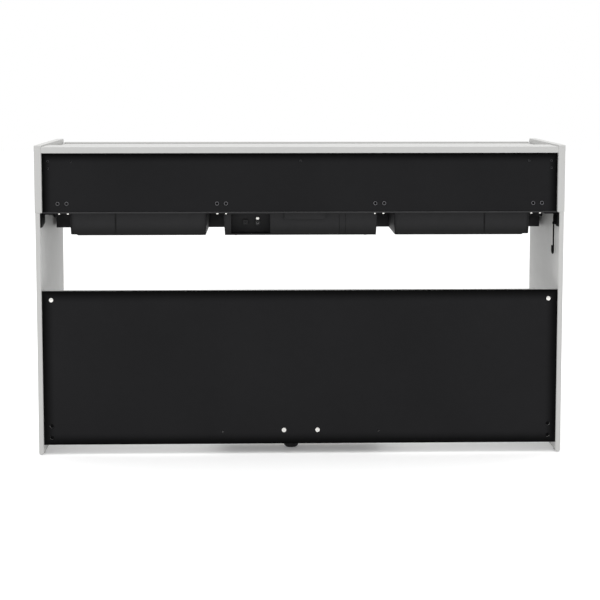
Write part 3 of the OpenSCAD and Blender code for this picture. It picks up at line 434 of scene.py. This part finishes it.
def soften(names, width):
    """Rounds the sharp edges of CAD nodes with modifiers, which leave the mesh as it is."""
    for name in names:
        obj = nodes[name]
        weld = obj.modifiers.new("weld", "WELD")
        weld.merge_threshold = WELD_GAP
        flat = obj.modifiers.new("flat", "DECIMATE")
        flat.decimate_type = "DISSOLVE"
        flat.angle_limit = math.radians(0.5)
        bevel = obj.modifiers.new("bevel", "BEVEL")
        bevel.width = width
        bevel.segments = 3
        bevel.limit_method = "ANGLE"
        bevel.angle_limit = math.radians(40)
        bevel.use_clamp_overlap = False
        smooth = obj.modifiers.new("normals", "WEIGHTED_NORMAL")
        smooth.mode = "FACE_AREA"
        smooth.weight = 100
        smooth.keep_sharp = False


dress_nodes()
soften(["left_leg", "right_leg", "left_cheek", "right_cheek", "top_shelf", "key_slip", "end_blocks", "lid",
        "music_ledge"], EDGE_R)
soften(["lid_rail"], RAIL_R)


# ---------------------------------------------------------------- fine pieces

# Turns that take +Z to +Y, -Y, -Z and +X
FACE_REAR = Matrix.Rotation(math.radians(-90), 4, "X")
FACE_FRONT = Matrix.Rotation(math.radians(90), 4, "X")
FACE_DOWN = Matrix.Rotation(math.radians(180), 4, "X")
FACE_SIDE = Matrix.Rotation(math.radians(90), 4, "Y")


def at(x, y, z, turn=Matrix()):
    """Matrix for a piece that is turned, then moved to this place."""
    return Matrix.Translation((x, y, z)) @ turn


def circle(r, z, segments):
    """Points round a circle of radius r about Z."""
    angles = (2 * math.pi * j / segments for j in range(segments))
    return [(r * math.cos(a), r * math.sin(a), z) for a in angles]


def bands(rings):
    """Faces between rings of vertex numbers, each ring with its neighbour."""
    n = len(rings[0])
    return [[p[j], p[(j + 1) % n], q[(j + 1) % n], q[j]]
            for p, q in zip(rings, rings[1:]) for j in range(n)]


class Shape:
    """Collects geometry into one mesh, and turns it into a piece that rides on a body."""

    def __init__(self):
        self.bm = bmesh.new()

    def add(self, verts, faces, matrix=Matrix()):
        made = [self.bm.verts.new(matrix @ Vector(v)) for v in verts]
        for face in faces:
            self.bm.faces.new([made[i] for i in face])

    def lathe(self, profile, matrix=Matrix(), segments=32, radius=None):
        """Turns (r, z) points about Z; radius(angle, r, z) may change r. Ends at r = 0 close the form."""
        verts, rows = [], []
        for r, z in profile:
            if r < 1e-9:
                rows.append([len(verts)] * segments)
                verts.append((0, 0, z))
                continue
            row = []
            for j in range(segments):
                a = 2 * math.pi * j / segments
                q = radius(a, r, z) if radius else r
                row.append(len(verts))
                verts.append((q * math.cos(a), q * math.sin(a), z))
            rows.append(row)
        faces = [[v for i, v in enumerate(face) if v not in face[:i]] for face in bands(rows)]
        self.add(verts, [face for face in faces if len(face) > 2], matrix)

    def head(self, r, h, matrix, recess="cross", rim=0.25, shank=0.0):
        """Screw head on Z = 0 with a driver recess, made as rings whose height follows the recess."""
        steps, segments = 12, 48
        verts, rows = circle(r, 0, segments), [list(range(segments))]
        for k in range(steps, 0, -1):
            q = r * k / steps
            rows.append([len(verts) + j for j in range(segments)])
            for x, y, _ in circle(q, 0, segments):
                verts.append((x, y, self.head_height(x, y, q, r, h, recess, rim)))
        centre, last = len(verts), rows[-1]
        verts.append((0, 0, self.head_height(0, 0, 0, r, h, recess, rim)))
        faces = bands(rows) + [[last[j], last[(j + 1) % segments], centre] for j in range(segments)]
        if shank:
            neck = r * 0.42
            under = [len(verts) + j for j in range(segments)]
            tail = [v + segments for v in under]
            verts += circle(neck, 0, segments) + circle(neck, -shank, segments)
            faces += bands([tail, under, rows[0]]) + [tail]
        else:
            faces.append(rows[0][::-1])
        self.add(verts, faces, matrix)

    @staticmethod
    def head_height(x, y, q, r, h, recess, rim):
        """Height of a head at (x, y): a dome that rolls over at the rim, less its recess."""
        t = q / r
        height = h * (1 - rim * t ** 2) if t < 0.999 else h * 0.35
        if recess == "cross":
            arm, width = r * 0.55, r * 0.13
            inside = min(abs(x), abs(y)) < width and max(abs(x), abs(y)) < arm
            return height - (h * 0.6 if inside else 0)
        if recess == "hex":
            normals = (0, math.pi / 3, 2 * math.pi / 3)
            reach = max(abs(x * math.cos(k) + y * math.sin(k)) for k in normals)
            return height - (h * 0.65 if reach < r * 0.3 else 0)
        if recess == "dish":
            return height - h * 0.55 * max(0.0, 1 - (t / 0.72) ** 2) ** 0.5
        return height

    def sweep(self, points, radius):
        """Round bar along the points, domed at both ends."""
        points = [Vector(p) for p in points]
        last, segments, side = len(points) - 1, 16, None
        dome = [(radius * (1 - k), radius * math.sqrt(max(0.02, 1 - (1 - k) ** 2)))
                for k in (0.0, 0.5, 0.87)]
        path = [(0, -out, r) for out, r in dome]
        path += [(i, 0.0, radius) for i in range(last + 1)]
        path += [(last, out, r) for out, r in reversed(dome)]
        rings = []
        for i, ahead, r in path:
            along = (points[min(i + 1, last)] - points[max(i - 1, 0)]).normalized()
            if side is None:
                side = along.orthogonal().normalized()
            side = (side - along * side.dot(along)).normalized()
            other = along.cross(side)
            centre = points[i] + along * ahead
            rings.append([centre + side * x + other * y for x, y, _ in circle(r, 0, segments)])
        self.loft(rings)

    def loft(self, rings, matrix=Matrix()):
        """Closed form through rings of equal length, capped at both ends."""
        n = len(rings[0])
        numbers = [[k * n + j for j in range(n)] for k in range(len(rings))]
        faces = bands(numbers) + [numbers[0][::-1], numbers[-1]]
        self.add([v for ring in rings for v in ring], faces, matrix)

    def block(self, a, b, bevel):
        """Box from corner a to corner b with rounded edges."""
        box = bmesh.new()
        bmesh.ops.create_cube(box, size=1)
        for v in box.verts:
            v.co = Vector((a[i] + b[i]) / 2 + v.co[i] * (b[i] - a[i]) for i in range(3))
        bmesh.ops.bevel(box, geom=box.edges[:], offset=bevel, segments=3, profile=0.5, affect="EDGES")
        box.verts.index_update()
        self.add([v.co.copy() for v in box.verts], [[v.index for v in f.verts] for f in box.faces])
        box.free()

    def piece(self, name, body, slot, replaces=(), sharp=38):
        """Piece made of all that was added, shaded smooth apart from edges sharper than the angle."""
        bmesh.ops.recalc_face_normals(self.bm, faces=self.bm.faces[:])
        for face in self.bm.faces:
            face.smooth = True
        for edge in self.bm.edges:
            edge.smooth = len(edge.link_faces) == 2 and edge.calc_face_angle(0) < math.radians(sharp)
        mesh = bpy.data.meshes.new(name)
        self.bm.to_mesh(mesh)
        self.bm.free()
        obj = bpy.data.objects.new(name, mesh)
        bpy.context.collection.objects.link(obj)
        mesh.materials.append(SURFACES[slot].mat)
        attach(obj, body)
        if replaces:
            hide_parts(*replaces)


def middle(node):
    """Middle of a CAD node's box."""
    a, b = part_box(node)
    return (Vector(a) + Vector(b)) / 2


def islands(node):
    """Boxes of the separate solids of a CAD node, as (low, high) pairs."""
    bm = bmesh.new()
    bm.from_mesh(nodes[node].data)
    bmesh.ops.remove_doubles(bm, verts=bm.verts[:], dist=WELD_GAP)
    seen, found = set(), []
    for start in bm.verts:
        if start in seen:
            continue
        stack, group = [start], []
        seen.add(start)
        while stack:
            v = stack.pop()
            group.append(v.co.copy())
            for edge in v.link_edges:
                other = edge.other_vert(v)
                if other not in seen:
                    seen.add(other)
                    stack.append(other)
        found.append((Vector(min(p[i] for p in group) for i in range(3)),
                      Vector(max(p[i] for p in group) for i in range(3))))
    bm.free()
    return found


# ---------------------------------------------------------------- screws

# Rear faces of the two panels, and the washers' thickness
panel_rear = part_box("rear_panel")[1].y
low_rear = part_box("lower_panel")[1].y
WASHER_T = 1.0 * MM
WASHER_EDGE = 0.25 * MM
# Radius that parts the large screws from the small ones, and the widths of their lighter metal rims, a
# painted highlight on their edges
LARGE_R = 4 * MM
LARGE_RIM = 1.1 * MM
SMALL_RIM = 0.4 * MM
BOLT_SUNK = 3 * MM
# Screws under the cases
CASE_SCREW_R = 3.4 * MM
CASE_SCREW_H = 1.3 * MM
CASE_MARGIN = 16 * MM


def make_rear_screws():
    """Dished screws into the brackets, small cross-head ones along the edges, and lighter metal rims that
    paint a highlight on their edges.
    """
    heads, highlight_rims = Shape(), Shape()
    for a, b in islands("rear_panel_screws"):
        r, h = (b.x - a.x) / 2, b.y - panel_rear
        place = at((a.x + b.x) / 2, panel_rear, (a.z + b.z) / 2, FACE_REAR)
        large = r > LARGE_R
        wide = LARGE_RIM if large else SMALL_RIM
        heads.head(r - 0.3 * MM, h * 0.8, place, recess="dish" if large else "cross",
                   shank=panel_rear - a.y if large else 0)
        highlight_rims.lathe([(r - wide, 0), (r, 0), (r, h * 0.8), (r - wide * 0.3, h), (r - wide * 0.7, h),
                    (r - wide, h * 0.8), (r - wide, 0)], place, 40)
    heads.piece("rear_screw_heads", "cabinet", "black_steel", ["rear_panel_screws"])
    highlight_rims.piece("rear_screw_highlight_rims", "cabinet", "dark_screws")


def make_lower_screws():
    """Nickel screws with a washer, a domed head and a hex recess."""
    shape = Shape()
    for a, b in islands("lower_panel_screws"):
        r = (b.x - a.x) / 2
        x, z = (a.x + b.x) / 2, (a.z + b.z) / 2
        washer = [(0, 0), (r - WASHER_EDGE, 0), (r, WASHER_EDGE), (r, WASHER_T - WASHER_EDGE),
                  (r - WASHER_EDGE, WASHER_T), (0, WASHER_T)]
        shape.lathe(washer, at(x, low_rear, z, FACE_REAR), 48)
        shape.head(r * 0.74, b.y - low_rear - WASHER_T, at(x, low_rear + WASHER_T, z, FACE_REAR),
                   recess="hex", rim=0.4, shank=low_rear + WASHER_T - a.y)
    shape.piece("lower_screw_heads", "cabinet", "nickel", ["lower_panel_screws"])


def make_lower_bolts():
    """Black bolts whose heads lie flush with the panel."""
    shape = Shape()
    for a, b in islands("lower_panel_bolts"):
        place = at((a.x + b.x) / 2, b.y - BOLT_SUNK, (a.z + b.z) / 2, FACE_REAR)
        shape.head((b.x - a.x) / 2, BOLT_SUNK, place, recess="hex", rim=0.15, shank=b.y - BOLT_SUNK - a.y)
    shape.piece("lower_bolt_heads", "cabinet", "black_steel", ["lower_panel_bolts"])


def make_case_screws():
    """Small screws up into the undersides of the moulded cases."""
    shape = Shape()
    for node in ("left_speaker_box", "right_speaker_box", "electronics_box", "pedal_box"):
        a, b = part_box(node)
        for x in (a.x + 2 * CASE_MARGIN, b.x - 2 * CASE_MARGIN):
            for y in (a.y + CASE_MARGIN, b.y - CASE_MARGIN):
                shape.head(CASE_SCREW_R, CASE_SCREW_H, at(x, y, a.z, FACE_DOWN))
    shape.piece("case_screw_heads", "cabinet", "dark_screws")


# ---------------------------------------------------------------- headphone hook

# Wire, its bend and its upturned tip, and the pad with its share of the hook's height
HOOK_ROD = 2 * MM
HOOK_BEND = 9 * MM
HOOK_TIP = 10 * MM
PAD_HALF = 12 * MM
PAD_T = 3 * MM
PAD_SHARE = 0.27
PAD_EDGE = 0.8 * MM
# Rivets: radius, height, and distances from the pad's ends and middle
RIVET_R = 2.2 * MM
RIVET_H = 1.0 * MM
RIVET_IN = 6 * MM
RIVET_SIDE = 7.5 * MM


def make_hook():
    """Bent wire with domed ends, on a pad with rounded edges and four rivets."""
    a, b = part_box("headphone_hook")
    x, y = b.x - HOOK_ROD, b.y - PAD_HALF
    turn_z = a.z + HOOK_BEND + HOOK_ROD
    points = [(x, y, b.z - 8 * MM), (x, y, turn_z + 4 * HOOK_TIP), (x, y, turn_z + HOOK_TIP)]
    for k in range(17):
        t = math.pi * k / 16
        points.append((x, y - HOOK_BEND + HOOK_BEND * math.cos(t), turn_z - HOOK_BEND * math.sin(t)))
    points.append((x, y - 2 * HOOK_BEND, turn_z + HOOK_TIP))
    shape = Shape()
    shape.sweep(points, HOOK_ROD)
    pad_low = b.z - (b.z - a.z) * PAD_SHARE
    shape.block((a.x, b.y - 2 * PAD_HALF, pad_low), (a.x + PAD_T, b.y, b.z), PAD_EDGE)
    for z in (pad_low + RIVET_IN, b.z - RIVET_IN):
        for side in (-RIVET_SIDE, RIVET_SIDE):
            shape.head(RIVET_R, RIVET_H, at(a.x + PAD_T, y + side, z, FACE_SIDE), recess="none")
    wide = HOOK_ROD + 1.6 * MM
    collar = [(0, 0), (HOOK_ROD, 0), (wide, 1.5 * MM), (wide, 6 * MM), (HOOK_ROD, 8 * MM), (0, 8 * MM)]
    shape.lathe(collar, at(x, y, pad_low - 1 * MM), 24)
    shape.piece("hook", "cabinet", "black_steel", ["headphone_hook"])


# ---------------------------------------------------------------- pedals

# Pedal: tip radius, widths of pad and lever, thickness, and where the pad and the neck end
TIP_R = 13 * MM
PAD_W = 25.8 * MM
LEVER_W = 16 * MM
PEDAL_T = 8 * MM
PAD_END = 32 * MM
NECK_END = 60 * MM
# Its tip tapers over this length from this share of the thickness
LIP_LENGTH = 5 * MM
LIP_SHARE = 0.45
# Hub: radius, bore, half-length and chamfer
HUB_R = 7.5 * MM
HUB_BORE = 4.3 * MM
HUB_HALF = 12 * MM
HUB_EDGE = 0.8 * MM
# Distances of its cross-sections from the tip, in millimetres
PEDAL_STATIONS = [0.0, 0.4, 1.2, 2.5, 4.5, 7, 10, 13, 18, 24, 30, 34, 38, 42, 46, 50, 54, 58, 62,
                  75, 95, 120]


def pedal_width(d):
    """Width of the pedal at distance d from its tip."""
    if d < TIP_R:
        return PAD_W * math.sqrt(max(0.02, 1 - ((TIP_R - d) / TIP_R) ** 2))
    if d < PAD_END:
        return PAD_W
    if d < NECK_END:
        t = (d - PAD_END) / (NECK_END - PAD_END)
        return PAD_W + (LEVER_W - PAD_W) * (3 * t * t - 2 * t ** 3)
    return LEVER_W


def pedal_ring(x, y, z, width, thick):
    """Rounded cross-section of the pedal with a crowned top."""
    ring = []
    for j in range(32):
        angle = 2 * math.pi * j / 32
        c, s = math.cos(angle), math.sin(angle)
        u = math.copysign(abs(c) ** 0.45, c)
        v = math.copysign(abs(s) ** 0.55, s)
        crown = 0.12 * (1 - u * u) if v > 0 else 0
        ring.append((x + width / 2 * u, y, z - PEDAL_T * 0.06 + thick / 2 * v * (0.88 + crown)))
    return ring


def make_pedal(node):
    """Cast brass pedal: a crowned pad with a soft rim, a waist, a lever and a hub round the axle."""
    a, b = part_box(node)
    axle_y = b.y - HUB_R
    x, z = (a.x + b.x) / 2, (a.z + b.z) / 2
    length = axle_y - a.y
    rings = []
    for d in [station * MM for station in PEDAL_STATIONS if station * MM < length] + [length]:
        lip = min(1.0, LIP_SHARE + d / (9 * MM)) if d < LIP_LENGTH else 1.0
        rings.append(pedal_ring(x, a.y + d, z, pedal_width(d), PEDAL_T * lip))
    shape = Shape()
    shape.loft(rings)
    end, flat = min((b.x - a.x) / 2, HUB_HALF), HUB_R - HUB_EDGE
    profile = [(HUB_BORE, -end), (flat, -end), (HUB_R, HUB_EDGE - end), (HUB_R, end - HUB_EDGE),
               (flat, end), (HUB_BORE, end), (HUB_BORE, -end)]
    shape.lathe(profile, at(x, axle_y, z, FACE_SIDE), 40)
    shape.piece(node + "_cast", node, "pedal_brass", [node], sharp=50)


# Foot: height of the wheel, its ribs and their depth, the stem, and the thread's root and pitch
FOOT_H = 18 * MM
FOOT_RIBS = 18
RIB_DEPTH = 0.055
STEM_R = 4 * MM
THREAD_R = 3.4 * MM
THREAD_PITCH = 1.2 * MM


def make_foot():
    """Ribbed adjuster foot with a chamfered base and a threaded stem."""
    a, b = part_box("pedal_foot")
    x, y = (a.x + b.x) / 2, (a.y + b.y) / 2
    r, tall = (b.x - a.x) / 2, b.z - a.z

    def ribbed(angle, radius, z):
        if 3 * MM < z < 16.5 * MM and radius > 15 * MM:
            return radius * (1 - RIB_DEPTH * (0.5 - 0.5 * math.cos(FOOT_RIBS * angle)) ** 0.6)
        return radius

    profile = [(0, 0), (r - 6 * MM, 0), (r - 4.5 * MM, 0.5 * MM), (r - 0.9 * MM, 3.6 * MM), (r, 5 * MM),
               (r, 14.5 * MM), (r - 0.7 * MM, 16 * MM), (r - 2.5 * MM, 17.3 * MM), (r - 6 * MM, FOOT_H),
               (9 * MM, FOOT_H), (8 * MM, FOOT_H + 2 * MM), (STEM_R, FOOT_H + 2.5 * MM)]
    thread_z = FOOT_H + 3 * MM
    while thread_z < tall - 1.5 * MM:
        profile += [(STEM_R, thread_z), (THREAD_R, thread_z + THREAD_PITCH / 2)]
        thread_z += THREAD_PITCH
    profile += [(THREAD_R, tall), (0, tall)]
    shape = Shape()
    shape.lathe(profile, at(x, y, a.z), 144, ribbed)
    shape.piece("adjuster_foot", "pedal_foot", "black_plastic", ["pedal_foot"])


# ---------------------------------------------------------------- sockets and speakers

# Widths that tell the bay's screw and its round port by their solids
SCREW_MOST = 9 * MM
PORT_LEAST = 13 * MM
# Port's pins: their circle, and how deep they start
PIN_CIRCLE = 3.2 * MM
PIN_DEPTH = 6 * MM
NUT = [(4.3, 0), (6.6, 0), (7.0, 0.15), (7.0, 0.3), (6.4, 0.42), (4.6, 0.42), (4.3, 0.3), (4.3, 0)]
PIN = [(0, 0), (0.7, 0), (0.7, 3.4), (0.4, 4), (0, 4)]


def in_mm(profile):
    """Profile in metres from points in millimetres."""
    return [(r * MM, z * MM) for r, z in profile]


def make_socket_metal():
    """Ring nuts of the headphone sockets, and the screw and pins in the rear bay."""
    nuts, pins = Shape(), Shape()
    for a, b in islands("sockets"):
        x, z = (a.x + b.x) / 2, (a.z + b.z) / 2
        width = b.x - a.x
        if a.y < 0:
            nuts.lathe(in_mm(NUT), at(x, a.y, z, FACE_FRONT), 40)
        elif width < SCREW_MOST:
            nuts.head(width / 2 + 0.6 * MM, 1.8 * MM, at(x, b.y, z, FACE_REAR), rim=0.5)
        elif width > PORT_LEAST:
            for k in range(5):
                t = math.radians(180 + 45 * k)
                pin_x, pin_z = x + PIN_CIRCLE * math.cos(t), z + PIN_CIRCLE * math.sin(t)
                pins.lathe(in_mm(PIN), at(pin_x, b.y - PIN_DEPTH, pin_z, FACE_REAR), 12)
    nuts.piece("socket_nuts", "cabinet", "nickel")
    pins.piece("socket_pins", "cabinet", "steel")


# Speaker: the surround's distance inside the frame's edge, its half-width and height
ROLL_IN = 13 * MM
ROLL_HALF = 3.5 * MM
ROLL_H = 1.32 * MM
# Cone: how far in it starts, its depth and the height of its ribs
CONE_IN = 17 * MM
CONE_DEPTH = 15.5 * MM
RIPPLE = 0.25 * MM
# Dust cap: radius, and depth of its edge and middle
CAP_R = 20 * MM
CAP_EDGE = 16.5 * MM
CAP_MIDDLE = 9.5 * MM


def make_cones():
    """Ribbed paper cone, rubber surround and dust cap of each speaker, which face down."""
    shape = Shape()
    for a, b in islands("speaker_drivers"):
        r = (b.x - a.x) / 2
        profile = [(r - 9 * MM, -0.2 * MM)]
        for k in range(9):
            t = math.pi * k / 8
            profile.append((r - ROLL_IN + ROLL_HALF * math.cos(t), 0.4 * MM + ROLL_H * math.sin(t)))
        start = r - CONE_IN
        for k in range(13):
            t = k / 12
            ripple = RIPPLE * math.sin(t * 12 * math.pi)
            profile.append((start + (CAP_R - start) * t, 1 * MM + CONE_DEPTH * t ** 0.9 + ripple))
        for k in range(1, 8):
            t = k / 8 * math.pi / 2
            profile.append((CAP_R * math.cos(t), CAP_EDGE + (CAP_MIDDLE - CAP_EDGE) * math.sin(t)))
        profile.append((0, CAP_MIDDLE))
        shape.lathe(profile, at((a.x + b.x) / 2, (a.y + b.y) / 2, a.z), 64)
    shape.piece("speaker_cones", "cabinet", "speaker_metal", sharp=70)


# ---------------------------------------------------------------- controls and hinges

# Knob: direction of its pointer at rest and its travel in degrees, its flutes and height
KNOB_START = 230
KNOB_TRAVEL = 280
FLUTES = 24
FLUTE_DEPTH = 0.05
KNOB_H = 12 * MM
KNOB_SHAFT_R = 3 * MM
# Pointer: half-width, ends, and depths below the knob's top
POINTER_HALF = 0.6 * MM
POINTER_ENDS = (3.5 * MM, 9 * MM)
POINTER_DEPTHS = (-0.9 * MM, -0.1 * MM)


def bar(x_ends, half, z_ends, taper_x, taper_y):
    """Rings of a short bar along X whose top is narrower by the tapers."""
    (x1, x2), (z1, z2) = x_ends, z_ends
    base = [(x1, -half, z1), (x2, -half, z1), (x2, half, z1), (x1, half, z1)]
    return [base, [(v[0] * taper_x, v[1] * taper_y, z2) for v in base]]


def make_knob():
    """Fluted volume knob with a domed cap, a pointer and a shaft."""
    a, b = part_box("volume_knob")
    x, y, r = (a.x + b.x) / 2, (a.y + b.y) / 2, (b.x - a.x) / 2
    top_z, base_z = b.z, b.z - KNOB_H

    def fluted(angle, radius, z):
        if radius > 9.5 * MM and z > base_z + 2 * MM:
            return radius * (1 - FLUTE_DEPTH * (0.5 - 0.5 * math.cos(FLUTES * angle)))
        return radius

    profile = [(0, a.z), (KNOB_SHAFT_R, a.z), (KNOB_SHAFT_R, base_z), (r - 0.6 * MM, base_z),
               (r, base_z + 0.6 * MM), (r, base_z + 2.2 * MM), (r - 0.3 * MM, top_z - 2 * MM),
               (r - 0.9 * MM, top_z - 0.6 * MM), (r - 2 * MM, top_z - 0.05 * MM),
               (r - 3 * MM, top_z - 0.3 * MM), (4 * MM, top_z - 0.6 * MM), (0, top_z - 0.7 * MM)]
    cap = Shape()
    cap.lathe(profile, at(x, y, 0), 144, fluted)
    cap.piece("volume_cap", "volume_knob", "button_plastic", ["volume_knob"])
    turn = Matrix.Rotation(math.radians(KNOB_START), 4, "Z")
    pointer = Shape()
    pointer.loft(bar(POINTER_ENDS, POINTER_HALF, POINTER_DEPTHS, 1, 0.7), at(x, y, top_z, turn))
    pointer.piece("volume_pointer", "volume_knob", "white_plastic")


# Ticks: their circle, half-lengths (the first and last are longer), half-width and height
TICK_CIRCLE = 15.5 * MM
TICK_LONG = 2.2 * MM
TICK_SHORT = 1.4 * MM
TICK_HALF = 0.3 * MM
TICK_H = 0.12 * MM
TICKS = 11
BUTTON_H = 2 * MM
# Lens, and how far it is from the power button
LENS_PROFILE = [(0, -0.5), (1.6, -0.5), (1.6, 0.3), (1.2, 0.8), (0.6, 1.0), (0, 1.05)]
LENS_GAP = 15 * MM


def make_deck_marks():
    """Raised ticks round the volume knob, and a small lens beside the power button."""
    knob, power = middle("volume_knob"), middle("power_button")
    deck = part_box("power_button")[1].z - BUTTON_H
    ticks = Shape()
    for k in range(TICKS):
        t = math.radians(KNOB_START - KNOB_TRAVEL * k / (TICKS - 1))
        place = at(knob.x + TICK_CIRCLE * math.cos(t), knob.y + TICK_CIRCLE * math.sin(t), deck,
                   Matrix.Rotation(t, 4, "Z"))
        long = TICK_LONG if k in (0, TICKS - 1) else TICK_SHORT
        ticks.loft(bar((-long, long), TICK_HALF, (-TICK_H, TICK_H), 0.9, 0.6), place)
    ticks.piece("volume_ticks", "cabinet", "white_plastic")
    lens = Shape()
    lens.lathe(in_mm(LENS_PROFILE), at(power.x - LENS_GAP, power.y, deck), 24)
    lens.piece("power_lens", "cabinet", "nickel")


# Hinge screws: radius, height, spacing, and distance from the leaf's front edge
HINGE_SCREW_R = 3.0 * MM
HINGE_SCREW_H = 0.5 * MM
HINGE_SCREW_GAP = 36 * MM
HINGE_SCREW_IN = 7 * MM
LEAF_T = 1.2 * MM


def make_hinge_screws():
    """Three screws in each hinge leaf on the lid."""
    shape = Shape()
    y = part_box("hinge_lid_leaves")[0].y + HINGE_SCREW_IN
    top_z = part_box("lid")[1].z + LEAF_T
    for x in sorted({round((a.x + b.x) / 2, 3) for a, b in islands("hinge_shelf_leaves")}):
        for side in (-HINGE_SCREW_GAP, 0, HINGE_SCREW_GAP):
            shape.head(HINGE_SCREW_R, HINGE_SCREW_H, at(x + side, y, top_z))
    shape.piece("hinge_screw_heads", "lid", "steel")


make_rear_screws()
make_lower_screws()
make_lower_bolts()
make_case_screws()
make_hook()
for pedal in ("pedal_left", "pedal_middle", "pedal_right"):
    make_pedal(pedal)
make_foot()
make_socket_metal()
make_cones()
make_knob()
make_deck_marks()
make_hinge_screws()
